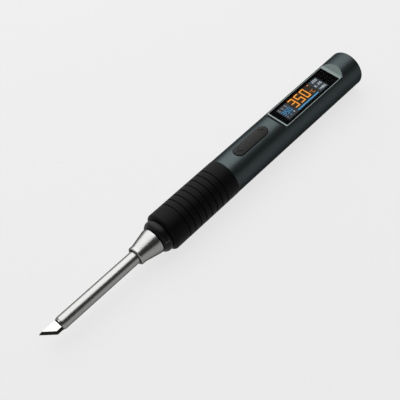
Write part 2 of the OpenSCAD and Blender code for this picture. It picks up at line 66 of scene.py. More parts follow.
MM = 0.001
FRAME_SIZE = (400, 400)
IMAGE_EDGES = {"left_x": 39, "right_x": 361, "top_y": 52, "bottom_y": 335}
IMAGE_POINTS = {
    "knife_point": (39, 335), "index_dash": (168.2, 241.8), "front_chevron": (240.5, 150.7),
    "rear_chevron": (260.9, 130.3),
    "glass_front_far": (269, 112.5), "glass_front_near": (287.5, 123.6),
    "glass_rear_far": (320.8, 67.1), "glass_rear_near": (338.4, 78.1),
}


def placed(name, data):
    """A new object of the scene that shows this data."""
    thing = bpy.data.objects.new(name, data)
    bpy.context.scene.collection.objects.link(thing)
    return thing


camera_aim = Vector((-8, -0.23, 8.95)) * MM
camera_distance = 345 * MM
camera_azimuth, camera_elevation, camera_roll = (math.radians(a) for a in (-42.46, 53.08, -5.6))
camera_back = Vector((math.sin(camera_azimuth) * math.cos(camera_elevation),
                      -math.cos(camera_azimuth) * math.cos(camera_elevation), math.sin(camera_elevation)))
camera_data = bpy.data.cameras.new("camera")
camera_data.lens = 72
camera_data.sensor_width = 36
camera = placed("camera", camera_data)
camera.location = camera_aim + camera_distance * camera_back
camera.rotation_mode = "QUATERNION"
camera.rotation_quaternion = camera_back.to_track_quat("Z", "Y") @ Quaternion((0, 0, 1), camera_roll)
bpy.context.scene.camera = camera


def carried_at(image_point, carrier):
    """The place on a carrier's surface that shows at an image point, or the nearest one to its ray."""
    width, height = FRAME_SIZE
    longest = max(width, height)
    ray = Vector((image_point[0] - width / 2 + camera_data.shift_x * longest,
                  height / 2 - image_point[1] + camera_data.shift_y * longest,
                  -longest * camera_data.lens / camera_data.sensor_width))
    ray.rotate(camera.rotation_quaternion)
    ray.normalize()
    skin = BVHTree.FromObject(carrier, bpy.context.evaluated_depsgraph_get())
    hit = skin.ray_cast(camera.location, ray)[0]
    if hit is None:
        along = (camera_aim - camera.location).dot(ray)
        hit = skin.find_nearest(camera.location + along * ray)[0]
    return hit


def shows_at(place):
    """Where a place shows in the image, in pixels of the photograph's frame."""
    width, height = FRAME_SIZE
    seen = camera.rotation_quaternion.inverted() @ (Vector(place) - camera.location)
    zoom = max(width, height) * camera_data.lens / camera_data.sensor_width / -seen.z
    return width / 2 + zoom * seen.x, height / 2 - zoom * seen.y


# ---- Studio ----
# A pale sweep of painted board: a flat floor that turns up into a low wall all round.
# A long softbox hangs over the far side of the iron and a small one beyond its tip; the room is dim.

def srgb(code):
    """A hex colour such as #EAEAEA, as the linear colour that a socket takes."""
    parts = [int(code[i:i + 2], 16) / 255 for i in (1, 3, 5)]
    return [p / 12.92 if p <= 0.04045 else ((p + 0.055) / 1.055) ** 2.4 for p in parts] + [1]


def add(tree, kind, inputs={}, **settings):
    """Adds a node to a tree; an input takes a plain value, or another node's output to link."""
    node = tree.nodes.new(kind)
    for name, value in settings.items():
        setattr(node, name, value)
    for name, value in inputs.items():
        if isinstance(value, bpy.types.NodeSocket):
            tree.links.new(value, node.inputs[name])
        else:
            node.inputs[name].default_value = value
    return node


def blank_material(name):
    """A material with an empty node tree; returns both."""
    material = bpy.data.materials.new(name)
    material.use_nodes = True
    material.node_tree.nodes.clear()
    return material, material.node_tree


def meshed(name, points, faces):
    """A mesh of these points and faces."""
    mesh = bpy.data.meshes.new(name)
    mesh.from_pydata(points, [], faces)
    return mesh


def ring_faces(sides, count, steps):
    """The faces of a turned mesh, ring by ring: count points on each side, joined over so many steps."""
    return [(i * count + k, (i + 1) % sides * count + k, (i + 1) % sides * count + (k + 1) % count,
             i * count + (k + 1) % count) for i in range(sides) for k in range(steps)]


SWEEP_TONE, SWEEP_SIDES = "#EAEAEA", 96
sweep_outline = [(0, 0), (0.4, 0), (1, 0), (2, 0), (2.9, 0), (3.2, 0.03), (3.35, 0.12), (3.4, 0.3),
                 (3.4, 1.1)]
sweep_mesh = meshed("sweep", [
    (r * math.cos(2 * math.pi * i / SWEEP_SIDES), r * math.sin(2 * math.pi * i / SWEEP_SIDES), z)
    for i in range(SWEEP_SIDES) for r, z in sweep_outline],
    ring_faces(SWEEP_SIDES, len(sweep_outline), len(sweep_outline) - 1))
sweep_mesh.shade_smooth()
sweep = placed("sweep", sweep_mesh)

# Matt painted board: seen directly or in a reflection it keeps its own tone, and the shadow stays on it.
painted_board, tree = blank_material("matt_painted_board")
light_path = add(tree, "ShaderNodeLightPath").outputs
seen = light_path["Is Camera Ray"]
for ray in ("Is Glossy Ray", "Is Transmission Ray"):
    seen = add(tree, "ShaderNodeMath", {0: seen, 1: light_path[ray]}, operation="ADD").outputs[0]
OWN_TONE_SHARE = 0.9  # the rest is light from the lamps
share = add(tree, "ShaderNodeMath", {0: seen, 1: OWN_TONE_SHARE}, operation="MULTIPLY", use_clamp=True)
lit = add(tree, "ShaderNodeBsdfDiffuse", {"Color": srgb(SWEEP_TONE)})
own_tone = add(tree, "ShaderNodeEmission", {"Color": srgb(SWEEP_TONE)})
mixed = add(tree, "ShaderNodeMixShader", {0: share.outputs[0], 1: lit.outputs[0], 2: own_tone.outputs[0]})
add(tree, "ShaderNodeOutputMaterial", {"Surface": mixed.outputs[0]})
sweep_mesh.materials.append(painted_board)

SOFTBOX_WATTS_PER_M2 = 9.6  # both boxes glow alike
for name, size, middle in (("softbox_long", (0.77, 1), (0.215, 0.285, 0.445)),
                           ("softbox_small", (0.3, 0.4), (-0.375, 0.295, 0.54))):
    softbox_data = bpy.data.lights.new(name, "AREA")
    softbox_data.shape = "RECTANGLE"
    softbox_data.size, softbox_data.size_y = size
    softbox_data.energy = SOFTBOX_WATTS_PER_M2 * size[0] * size[1]
    softbox = placed(name, softbox_data)
    softbox.location = middle
    softbox.rotation_euler = (math.atan2(-middle[1], middle[2]), 0, 0)

world = bpy.data.worlds.new("dim_room")
world.use_nodes = True
for socket, value in (("Color", srgb("#FFFFFF")), ("Strength", 0.05)):
    world.node_tree.nodes["Background"].inputs[socket].default_value = value
bpy.context.scene.world = world
bpy.context.scene.view_settings.view_transform = "Standard"


# ---- Knife tip ----
# A copper bar plated with iron and bright tin: a round shank, two flats ground on it and a slanted edge.
# It is sealed in the front of the barrel; the flats face up and down, the edge runs back on the near side.
# The iron's axis runs along X through the middle of the tip; the tip points to -X and the display faces up.

tip_low, tip_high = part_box("tip_blade")
AXIS_Y, AXIS_Z = (tip_low[1] + tip_high[1]) / 2, (tip_low[2] + tip_high[2]) / 2
SHANK_R = (tip_high[1] - tip_low[1]) / 2 / MM
BLADE_LEN, EDGE_RUN, BLADE_HALF, EDGE_HALF, EDGE_BAND = 8.3, 4.8, 1.4, 0.12, 0.75
BEYOND = 4  # how far a cutter reaches past what it cuts, in mm
shank_len = (tip_high[0] - tip_low[0]) / MM


def linked(name, mesh):
    """An object made of a mesh, merged and with its faces turned outwards."""
    shape = bmesh.new()
    shape.from_mesh(mesh)
    bmesh.ops.remove_doubles(shape, verts=shape.verts, dist=1e-7)
    bmesh.ops.recalc_face_normals(shape, faces=shape.faces)
    shape.to_mesh(mesh)
    shape.free()
    return placed(name, mesh)


def rounded(corners):
    """The outline through (along, across, radius) corners in mm, each turned on its own radius."""
    outline = []
    for before, corner, after in zip(corners[-1:] + corners[:-1], corners, corners[1:] + corners[:1]):
        point = Vector(corner[:2])
        if not corner[2]:
            outline.append(point)
            continue
        back, on = ((Vector(other[:2]) - point).normalized() for other in (before, after))
        reach = corner[2] / math.tan(back.angle(on) / 2)
        for u in (0, 0.2, 0.4, 0.6, 0.8, 1):
            outline.append(point + reach * ((1 - u) ** 2 * back + u ** 2 * on))
    return outline


def turned(name, start, corners, sides=192):
    """A piece turned about the iron's axis, from a closed outline of (mm behind start, radius, fillet)."""
    outline = rounded(corners)
    return linked(name, meshed(name, [
        (start + MM * x, AXIS_Y + MM * r * math.sin(2 * math.pi * i / sides),
         AXIS_Z + MM * r * math.cos(2 * math.pi * i / sides)) for i in range(sides) for x, r in outline],
        ring_faces(sides, len(outline), len(outline))))


def prism(name, points):
    """A solid between two like outlines, given as one list, the first outline before the second."""
    count = len(points) // 2
    return linked(name, meshed(name, points, [tuple(range(count)), tuple(range(count, 2 * count))] + [
        (i, (i + 1) % count, count + (i + 1) % count, count + i) for i in range(count)]))


def extruded(name, outline, low, high, axis):
    """A prism: a flat outline in metres, carried from low to high along an axis."""
    order = {"x": (2, 0, 1), "y": (0, 2, 1), "z": (0, 1, 2)}[axis]
    return prism(name, [[(*point, level)[i] for i in order] for level in (low, high) for point in outline])


def carve(piece, tool, operation="DIFFERENCE"):
    """Cuts a tool out of a piece for good, or joins it on, or keeps only what both share."""
    modifier = piece.modifiers.new("carve", "BOOLEAN")
    modifier.object = tool
    modifier.operation = operation
    modifier.solver = "EXACT"
    mesh = bpy.data.meshes.new_from_object(piece.evaluated_get(bpy.context.evaluated_depsgraph_get()))
    piece.modifiers.clear()
    piece.data = mesh
    bpy.data.objects.remove(tool)


def soften(piece, edge_mm=0, from_angle=32):
    """Smooth shading, with each sharp edge broken to a small round of that width."""
    piece.data.shade_smooth()
    piece.data.set_sharp_from_angle(angle=math.radians(from_angle))
    if edge_mm:
        bevel = piece.modifiers.new("edges", "BEVEL")
        bevel.width = edge_mm * MM
        bevel.segments = 3
        bevel.limit_method = "ANGLE"
        bevel.angle_limit = math.radians(from_angle)
        bevel.miter_outer = "MITER_ARC"
        bevel.use_clamp_overlap = True
    weighted = piece.modifiers.new("shading", "WEIGHTED_NORMAL")
    weighted.keep_sharp = not edge_mm
    weighted.weight = 100


tip = turned("knife_tip", tip_low[0], [
    (0, 0, 0), (0, SHANK_R, 0), (shank_len, SHANK_R, 0), (shank_len, 0, 0)])
# the two ground flats run back to the barrel and end there in the small radius of the grinding wheel
wheel_edge = [(BLADE_LEN - back, BLADE_HALF + up) for back, up in ((0.3, 0), (0.12, 0.06), (0.02, 0.25))]
for side in (-1, 1):
    carve(tip, extruded("flat_cutter", [Vector((tip_low[0] + MM * x, AXIS_Z + side * MM * z)) for x, z in (
        (-BEYOND, BLADE_HALF), *wheel_edge, (BLADE_LEN, BEYOND), (-BEYOND, BEYOND))],
        AXIS_Y - BEYOND * MM, AXIS_Y + BEYOND * MM, "y"))
# the slanted edge: two wedges are ground off, so it is thin and the blade thick behind the ground band
edge_way = Vector((EDGE_RUN, -2 * SHANK_R, 0)).normalized()
inward = Vector((-edge_way.y, edge_way.x, 0))
edge_start = Vector((tip_low[0], AXIS_Y + MM * SHANK_R, AXIS_Z))
wedge = [(-2 * BEYOND, 0), (0, 0), (0, EDGE_HALF), (EDGE_BAND, BLADE_HALF), (EDGE_BAND, BEYOND),
         (-2 * BEYOND, BEYOND)]
for side in (-1, 1):
    carve(tip, prism("wedge_cutter", [
        edge_start + MM * (along * edge_way + across * inward + Vector((0, 0, side * rise)))
        for along in (-3 * BEYOND, 6 * BEYOND) for across, rise in wedge]))
soften(tip, 0.06)

MOST_OF_A_NOISE = {"From Min": 0.3, "From Max": 0.7}  # the range that a noise's values nearly all lie in


def lined_metal(name, tone, stretch, gloss, line_height, edge="#FFFFFF"):
    """A bare metal worked in one direction: fine lines stretched along it break its gloss and its relief.

    stretch is how many lines lie in a metre along X, Y and Z, gloss the least and most roughness, line_height
    is in hundredths of a millimetre, and edge the tint of its reflection at a glancing angle."""
    material, tree = blank_material(name)
    where = add(tree, "ShaderNodeTexCoord")
    stretched = add(tree, "ShaderNodeMapping", {"Vector": where.outputs["Object"], "Scale": stretch})
    lines = add(tree, "ShaderNodeTexNoise", {"Vector": stretched.outputs[0], "Scale": 1, "Detail": 3})
    line_gloss = add(tree, "ShaderNodeMapRange", {
        "Value": lines.outputs[0], **MOST_OF_A_NOISE, "To Min": gloss[0], "To Max": gloss[1]})
    line_relief = add(tree, "ShaderNodeBump", {
        "Height": lines.outputs[0], "Strength": 1, "Distance": line_height * 0.01 * MM})
    metal = add(tree, "ShaderNodeBsdfPrincipled", {
        "Base Color": srgb(tone), "Metallic": 1, "Roughness": line_gloss.outputs[0],
        "Specular Tint": srgb(edge), "Normal": line_relief.outputs[0]})
    add(tree, "ShaderNodeOutputMaterial", {"Surface": metal.outputs[0]})
    return material


def coat(piece, *materials):
    """Gives a piece its materials."""
    for material in materials:
        piece.data.materials.append(material)


# The ground edge and the round back are bare iron plating, grey-black from the heat.
# The flats carry bright tin: clear reflections broken by fine grinding scratches along the blade.
coat(tip, lined_metal("iron_plating_heat_darkened", "#2A2928", (300, 6000, 6000), (0.35, 0.45), 0.01,
                      edge="#303030"),
     lined_metal("tin_on_iron_plating_ground_flat", "#A8A6A3", (300, 9000, 9000), (0.2, 0.3), 0.01,
                 edge="#707070"))
for face in tip.data.polygons:
    face.material_index = int(abs(face.normal.z) > 0.99)  # the flats
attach(tip, "cartridge")
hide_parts("tip_blade")


# ---- Cartridge barrel ----
# A seamless stainless tube, cold drawn and polished, over the heater; its front edge is rounded over.
# It slides through the nut, whose front hides a shallow crimped groove.


def measured(low, high):
    """The length and the half height between a box's two corners, in mm."""
    return (high[0] - low[0]) / MM, (high[2] - low[2]) / 2 / MM


barrel_low, barrel_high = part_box("cartridge_barrel")
barrel_len, BARREL_R = measured(barrel_low, barrel_high)
CRIMP_AT, CRIMP_END, CRIMP_R, TUBE_WALL, TUBE_FROM = 41.4, 43.1, BARREL_R - 0.2, 0.4, 7
barrel = turned("cartridge_barrel_tube", barrel_low[0], [
    (0.02, SHANK_R + 0.06, 0), (0, SHANK_R + 0.12, 0.03), (1, BARREL_R, 0.5), (CRIMP_AT, BARREL_R, 0),
    (CRIMP_AT, CRIMP_R, 0), (CRIMP_END, CRIMP_R, 0), (CRIMP_END, BARREL_R, 0),
    (barrel_len, BARREL_R, 0.1), (barrel_len, BARREL_R - TUBE_WALL, 0), (TUBE_FROM, BARREL_R - TUBE_WALL, 0)])
soften(barrel)

# A mirror with faint drawing lines along the tube.
coat(barrel, lined_metal("stainless_steel_drawn_and_polished", "#929291", (120, 5000, 5000), (0.29, 0.32),
                         0.002, edge="#303030"))
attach(barrel, "cartridge")
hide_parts("cartridge_barrel")


# ---- Cone nut ----
# Turned from stainless bar and polished: a short lip band, a long cone and a narrow rear band.
# It screws over the nose's spigot and its inner taper squeezes the brass collet on the barrel.

nut_low, nut_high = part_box("collar_nut")
nut_len, NUT_REAR_R = measured(nut_low, nut_high)
NUT_FRONT_R, NUT_BORE_R, THREAD_R, TAPER_R = 4.3, BARREL_R + 0.15, 4.25, 3.35
MOUTH, FRONT_EDGE, LIP_LEN, REAR_LEN, REAR_EDGE, THREAD_FROM, TAPER_FROM = 0.45, 0.4, 2.2, 1.05, 0.12, 6, 2.1
nut = turned("cone_nut", nut_low[0], [
    (MOUTH, NUT_BORE_R, 0.05), (0, NUT_BORE_R + MOUTH, 0.08), (0, NUT_FRONT_R - FRONT_EDGE, 0.12),
    (FRONT_EDGE, NUT_FRONT_R, 0.15), (LIP_LEN, NUT_FRONT_R, 0.5), (nut_len - REAR_LEN, NUT_REAR_R, 0.4),
    (nut_len - REAR_EDGE, NUT_REAR_R, 0.08), (nut_len, NUT_REAR_R - REAR_EDGE, 0.05), (nut_len, THREAD_R, 0),
    (THREAD_FROM, THREAD_R, 0), (TAPER_FROM, TAPER_R, 0), (TAPER_FROM, NUT_BORE_R, 0)])
soften(nut)

# A mirror with very fine rings left by the lathe.
coat(nut, lined_metal("stainless_steel_turned_and_polished", "#929291", (9000, 40, 40), (0.27, 0.3),
                      0.002, edge="#303030"))
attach(nut, "collar_nut")
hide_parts("collar_nut")


# ---- Nose ----
# Injection-moulded, glass-filled nylon: a flared collar behind the nut, a notch, and a stem inside the neck.
# A short pale dash is moulded in its near side as an index for the nut.

nose_low, nose_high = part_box("nose_bush")
nose_len, NOSE_R = measured(nose_low, nose_high)
grip_low, grip_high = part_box("grip_sleeve")
collar_at = (nut_high[0] - nose_low[0]) / MM + 0.1
grip_at = (grip_low[0] - nose_low[0]) / MM
notch_at = grip_at - 0.9
GUIDE_AT, GUIDE_R, NOSE_BORE_R, SPIGOT_R, STEM_R = collar_at + 2.4, 3.15, 3.55, 4.15, 5.85
NECK_DROP, NECK_LEN, FLARE_STEP, FLARE_END, FLARE_DROP = 0.6, 0.3, 0.35, 0.85, 0.79
COLLAR_ROUND, ROUND_AT, NOTCH_DEPTH = 2.7, 2.75, 0.6


def collar_face(below):
    """The collar's outline, so many mm below its surface: a narrow neck, then a flare that rounds over."""
    neck_r = NUT_REAR_R - NECK_DROP - below
    flare = [(collar_at, neck_r, 0), (collar_at + NECK_LEN, neck_r, 0),
             (collar_at + NECK_LEN, NUT_REAR_R + FLARE_STEP - below, 0.05),
             (collar_at + FLARE_END, NOSE_R - FLARE_DROP - below, 0)]
    for bend in (math.radians(angle) for angle in (36, 27, 18, 9, 0)):
        flare.append((collar_at + ROUND_AT - COLLAR_ROUND * math.sin(bend),
                      NOSE_R - COLLAR_ROUND * (1 - math.cos(bend)) - below, 0))
    return flare


nose = turned("flared_nose", nose_low[0], [
    (0, NOSE_BORE_R, 0), (0, SPIGOT_R, 0.1), (collar_at, SPIGOT_R, 0), *collar_face(0),
    (notch_at, NOSE_R, 0.1), (notch_at + 0.1, NOSE_R - NOTCH_DEPTH, 0.05),
    (grip_at, NOSE_R - NOTCH_DEPTH, 0), (grip_at, STEM_R, 0), (nose_len, STEM_R, 0.1), (nose_len, GUIDE_R, 0),
    (GUIDE_AT, GUIDE_R, 0), (GUIDE_AT, NOSE_BORE_R, 0)])
dash_at = carried_at(IMAGE_POINTS["index_dash"], nose)
dash_turn = math.atan2(dash_at.y - AXIS_Y, dash_at.z - AXIS_Z)
DASH_LEN, DASH_W, DASH_DEPTH = 2.2, 0.34, 0.1


def oblong(left, low, right, high):
    """A rectangle's outline between two corners."""
    return [Vector(corner) for corner in ((left, low), (right, low), (right, high), (left, high))]


def dash_bar(name, slack):
    """A bar through the collar's surface at the dash's place, smaller than the dash by the slack, in mm."""
    half_len, half_w = (DASH_LEN - slack) / 2 * MM, (DASH_W - slack) / 2 * MM
    bar = extruded(name, oblong(dash_at.x - half_len, -half_w, dash_at.x + half_len, half_w),
                   MM * (NOSE_R - 1), MM * (NOSE_R + 1), "z")
    for vertex in bar.data.vertices:
        y, z = vertex.co.y, vertex.co.z
        vertex.co.y = AXIS_Y + y * math.cos(dash_turn) + z * math.sin(dash_turn)
        vertex.co.z = AXIS_Z - y * math.sin(dash_turn) + z * math.cos(dash_turn)
    return bar


def under_collar(name, below):
    """A solid that follows the collar's outline, so many mm below its surface."""
    return turned(name, nose_low[0], [(collar_at, 0, 0), *collar_face(below), (notch_at, NOSE_R - below, 0),
                                      (notch_at, 0, 0)])


dash_cutter = dash_bar("dash_cutter", 0)
carve(dash_cutter, under_collar("dash_floor", DASH_DEPTH))
carve(nose, dash_cutter)
soften(nose)
dash = dash_bar("index_dash_paint", 0.04)
carve(dash, under_collar("dash_face", 0.02), "INTERSECT")
carve(dash, under_collar("dash_back", DASH_DEPTH))
soften(dash)


def grained(name, dark, light, grains, gloss, ior, grain_height, shine=0.5):
    """A moulded, cast or painted finish: fine grain mottles its tone and gloss and roughens its surface.

    grains is how many lie in a metre, gloss the least and most roughness, grain_height is in hundredths of a
    millimetre, and shine the share of light that the face itself throws back (0.5 is plain)."""
    material, tree = blank_material(name)
    where = add(tree, "ShaderNodeTexCoord")
    grain = add(tree, "ShaderNodeTexNoise", {"Vector": where.outputs["Object"], "Scale": grains, "Detail": 3})
    spread = add(tree, "ShaderNodeMapRange", {"Value": grain.outputs[0], **MOST_OF_A_NOISE})
    tone = add(tree, "ShaderNodeMixRGB", {
        "Fac": spread.outputs[0], "Color1": srgb(dark), "Color2": srgb(light)})
    grain_gloss = add(tree, "ShaderNodeMapRange", {
        "Value": spread.outputs[0], "To Min": gloss[0], "To Max": gloss[1]})
    grain_relief = add(tree, "ShaderNodeBump", {
        "Height": grain.outputs[0], "Strength": 1, "Distance": grain_height * 0.01 * MM})
    body = add(tree, "ShaderNodeBsdfPrincipled", {
        "Base Color": tone.outputs[0], "Roughness": grain_gloss.outputs[0], "IOR": ior,
        "Specular IOR Level": shine, "Normal": grain_relief.outputs[0]})
    add(tree, "ShaderNodeOutputMaterial", {"Surface": body.outputs[0]})
    return material


# Satin black nylon with a very fine grain; the dash is matt grey enamel rubbed into its mark.
coat(nose, grained("glass_filled_nylon_moulded_satin", "#0A0A0A", "#0E0E0E", 9000, (0.36, 0.44), 1.5, 0.2,
                   shine=0.14))
coat(dash, grained("enamel_rubbed_in_matt_grey", "#545452", "#666664", 3000, (0.55, 0.7), 1.5, 0.2))
for piece in (nose, dash):
    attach(piece, "handle")
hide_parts("nose_bush")


# ---- Grip ----
# A moulded silicone sleeve pushed over the housing's neck: plain ends and eight fine grooves between.
# The front edge is rounded; each groove is a narrow slot with softened lips.

GRIP_SIDES = 160
grip_tree = bpy.data.node_groups.new("grooved_sleeve", "GeometryNodeTree")
grip_sizes = {
    "Front": grip_low[0], "Rear": grip_high[0], "Radius": (grip_high[2] - grip_low[2]) / 2, "Bore": 7.25 * MM,
    "Front edge": 1.3 * MM, "First groove": grip_low[0] + 8.5 * MM, "Groove pitch": 3.36 * MM,
    "Groove width": 0.45 * MM, "Groove depth": 0.45 * MM, "Lip": 0.08 * MM,
}
for name in grip_sizes:
    grip_tree.interface.new_socket(name, in_out="INPUT", socket_type="NodeSocketFloat")
grip_tree.interface.new_socket("Grooves", in_out="INPUT", socket_type="NodeSocketInt")
grip_tree.interface.new_socket("Rubber", in_out="INPUT", socket_type="NodeSocketMaterial")
grip_tree.interface.new_socket("Geometry", in_out="OUTPUT", socket_type="NodeSocketGeometry")
given = add(grip_tree, "NodeGroupInput").outputs

# the front edge is rounded through these shares of its width: (how far back, how far below the radius)
FRONT_ROUND = ((0, 1.08), (0.12, 0.72), (0.35, 0.4), (0.65, 0.13), (1, 0))
# each further size of the sleeve is one size times a number, plus another size
sized = {name: given[name] for name in (*grip_sizes, "Grooves")}
for name, first, times, plus in (
        ("half pitch", "Groove pitch", 0.5, 0), ("half width", "Groove width", 0.5, 0),
        ("half lip", "half width", 1, "Lip"), ("lip radius", "Lip", -1, "Radius"),
        ("groove floor", "Groove depth", -1, "Radius"), ("rear lip", "Lip", -1, "Rear"),
        ("grooves start", "half pitch", -1, "First groove"),
        ("grooves end", "Groove pitch", "Grooves", "grooves start"),
        *(("minus " + half, half, -1, 0) for half in ("half pitch", "half lip", "half width")),
        *((f"front {i}", "Front edge", back, "Front") for i, (back, _) in enumerate(FRONT_ROUND)),
        *((f"front radius {i}", "Front edge", -below, "Radius") for i, (_, below) in enumerate(FRONT_ROUND))):
    values = {i: sized.get(value, value) for i, value in enumerate((first, times, plus))}
    sized[name] = add(grip_tree, "ShaderNodeMath", values, operation="MULTIPLY_ADD").outputs[0]


def ring_strip(rows):
    """A strip of faces turned about X through rows, each named by its size along X and its radius."""
    grid = add(grip_tree, "GeometryNodeMeshGrid", {"Vertices X": len(rows), "Vertices Y": GRIP_SIDES + 1})
    index = add(grip_tree, "GeometryNodeInputIndex").outputs[0]
    share = add(grip_tree, "ShaderNodeMath", {0: index, 1: GRIP_SIDES + 1}, operation="DIVIDE")
    row = add(grip_tree, "ShaderNodeMath", {0: share.outputs[0]}, operation="FLOOR")
    side = add(grip_tree, "ShaderNodeMath", {0: index, 1: GRIP_SIDES + 1}, operation="MODULO")
    turn = add(grip_tree, "ShaderNodeMath", {0: side.outputs[0], 1: 2 * math.pi / GRIP_SIDES},
               operation="MULTIPLY")
    picked = []
    for column in (0, 1):
        choice = add(grip_tree, "GeometryNodeIndexSwitch", data_type="FLOAT")
        while len(choice.index_switch_items) < len(rows):
            choice.index_switch_items.new()
        grip_tree.links.new(row.outputs[0], choice.inputs[0])
        for i, sizes in enumerate(rows):
            grip_tree.links.new(sized[sizes[column]], choice.inputs[i + 1])
        picked.append(choice.outputs[0])
    place = add(grip_tree, "ShaderNodeCombineXYZ", {0: picked[0]})
    for socket, wave in ((1, "SINE"), (2, "COSINE")):
        reach = add(grip_tree, "ShaderNodeMath", {0: turn.outputs[0]}, operation=wave)
        out = add(grip_tree, "ShaderNodeMath", {0: picked[1], 1: reach.outputs[0]}, operation="MULTIPLY")
        grip_tree.links.new(out.outputs[0], place.inputs[socket])
    moved = add(grip_tree, "GeometryNodeSetPosition", {
        "Geometry": grid.outputs["Mesh"], "Position": place.outputs[0]})
    return moved.outputs[0]


one_groove = ring_strip([
    ("minus half pitch", "Radius"), ("minus half lip", "Radius"), ("minus half width", "lip radius"),
    ("minus half width", "groove floor"), ("half width", "groove floor"), ("half width", "lip radius"),
    ("half lip", "Radius"), ("half pitch", "Radius")])
plain_ends = ring_strip([
    ("grooves end", "Radius"), ("rear lip", "Radius"), ("Rear", "lip radius"), ("Rear", "Bore"),
    ("Front", "Bore"), *((f"front {i}", f"front radius {i}") for i in range(len(FRONT_ROUND))),
    ("grooves start", "Radius")])
first_at, step = (add(grip_tree, "ShaderNodeCombineXYZ", {0: given[name]}).outputs[0]
                  for name in ("First groove", "Groove pitch"))
groove_row = add(grip_tree, "GeometryNodeMeshLine", {
    "Count": given["Grooves"], "Start Location": first_at, "Offset": step}).outputs[0]
grooves = add(grip_tree, "GeometryNodeInstanceOnPoints", {"Points": groove_row, "Instance": one_groove})
sleeve = add(grip_tree, "GeometryNodeJoinGeometry")
for part in (grooves.outputs[0], plain_ends):
    grip_tree.links.new(part, sleeve.inputs[0])
made = sleeve.outputs[0]
for kind, inputs in (("RealizeInstances", {}), ("MergeByDistance", {"Distance": 0.002 * MM}),
                     ("SetMaterial", {"Material": given["Rubber"]})):
    made = add(grip_tree, "GeometryNode" + kind, {"Geometry": made, **inputs}).outputs[0]
add(grip_tree, "NodeGroupOutput", {"Geometry": made})

# Almost black silicone with a matt grain: a dull sheen where the light stands over it.
grip_rubber = grained("silicone_rubber_moulded_matt", "#050505", "#080808", 6000, (0.48, 0.58), 1.41, 0.8,
                      shine=0.09)


def grown(name, tree, values):
    """The plain mesh piece that a Geometry Nodes tree makes from these input values."""
    seed = placed(name, bpy.data.meshes.new(name))
    modifier = seed.modifiers.new("nodes", "NODES")
    modifier.node_group = tree
    sockets = {item.name: item.identifier for item in tree.interface.items_tree if item.in_out == "INPUT"}
    for key, value in values.items():
        modifier[sockets[key]] = value
    mesh = bpy.data.meshes.new_from_object(seed.evaluated_get(bpy.context.evaluated_depsgraph_get()))
    bpy.data.objects.remove(seed)
    return linked(name, mesh)


def shifted(piece, y, z):
    """Moves a piece's mesh across the iron."""
    for vertex in piece.data.vertices:
        vertex.co += Vector((0, y, z))
    return piece


grip = grown("grooved_grip", grip_tree, {**grip_sizes, "Grooves": 8, "Rubber": grip_rubber})
shifted(grip, AXIS_Y, AXIS_Z)
soften(grip)
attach(grip, "handle")
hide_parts("grip_sleeve")


# ---- Housing ----
# Turned aluminium tube: a neck under the grip, a round body with a rounded rear edge, blasted and anodised.
# A milling cutter has sunk the key's slot and the display's flat, with a steep ramp in front and a long one
# behind; the screen's opening and the recess for the glass are cut through the flat.

body_low, body_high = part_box("housing_tube")
body_len = (body_high[0] - body_low[0]) / MM
bezel_low, bezel_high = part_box("display_bezel")
glass_low, glass_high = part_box("display_glass")
key_low, key_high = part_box("rocker_key")
BODY_R, BODY_BORE, NECK_R, NECK_BORE, STEP_LEN = 9.0, 6.5, 7.2, 5.9, 1.6
shoulder = (grip_high[0] - body_low[0]) / MM + 0.05
step_end = shoulder + STEP_LEN
housing = turned("metal_housing", body_low[0], [
    (0, NECK_BORE, 0), (0, NECK_R, 0.1), (shoulder, NECK_R, 0), (shoulder, BODY_R, 0.2),
    (body_len, BODY_R, 0.7), (body_len, BODY_BORE, 0.12), (step_end, BODY_BORE, 0), (step_end, NECK_BORE, 0)],
    sides=256)

KEY_GAP, SKY = 0.24 * MM, AXIS_Z + 20 * MM  # a cutter that is open above reaches up to SKY


def arc(middle, radius, start, turn, steps):
    """Points on a circle's arc, from a start angle in degrees over so many degrees."""
    angles = [math.radians(start + turn * i / steps) for i in range(steps + 1)]
    return [Vector((middle[0] + radius * math.cos(a), middle[1] + radius * math.sin(a))) for a in angles]


def pill(middle, length, width, steps):
    """An outline with straight sides and round ends, long along its first direction."""
    straight = (length - width) / 2
    return [point for side, start in ((1, -90), (-1, 90))
            for point in arc((middle[0] + side * straight, middle[1]), width / 2, start, 180, steps)]


key_at = ((key_low[0] + key_high[0]) / 2, AXIS_Y)
key_len, key_w = key_high[0] - key_low[0], key_high[1] - key_low[1]
slot = pill(key_at, key_len + 2 * KEY_GAP, key_w + 2 * KEY_GAP, 24)
carve(housing, extruded("key_slot", slot, AXIS_Z, SKY, "z"))
# the flat and its ramps, cut by one cutter: the ramps rise a full (crown - flat) over their runs
FLAT_Z = bezel_low[2]
crown_z = AXIS_Z + BODY_R * MM
flat_front, flat_rear = bezel_low[0] - 0.6 * MM, bezel_high[0]
RAMP_FRONT, RAMP_REAR = 1.9 * MM, 2.45 * MM
rise = crown_z - FLAT_Z
carve(housing, extruded("flat_cutter", [Vector(point) for point in (
    (flat_front, FLAT_Z), (flat_rear, FLAT_Z), (flat_rear + 2 * RAMP_REAR, FLAT_Z + 2 * rise),
    (flat_front - 2 * RAMP_FRONT, FLAT_Z + 2 * rise))], AXIS_Y - 10 * MM, AXIS_Y + 10 * MM, "y"))


def rounded_plate(name, low, high, corner_mm, floor, top):
    """A flat plate between two corners of the plan, with rounded corners, from floor to top."""
    outline = rounded([(low[0] / MM, low[1] / MM, corner_mm), (high[0] / MM, low[1] / MM, corner_mm),
                       (high[0] / MM, high[1] / MM, corner_mm), (low[0] / MM, high[1] / MM, corner_mm)])
    return extruded(name, [point * MM for point in outline], floor, top, "z")


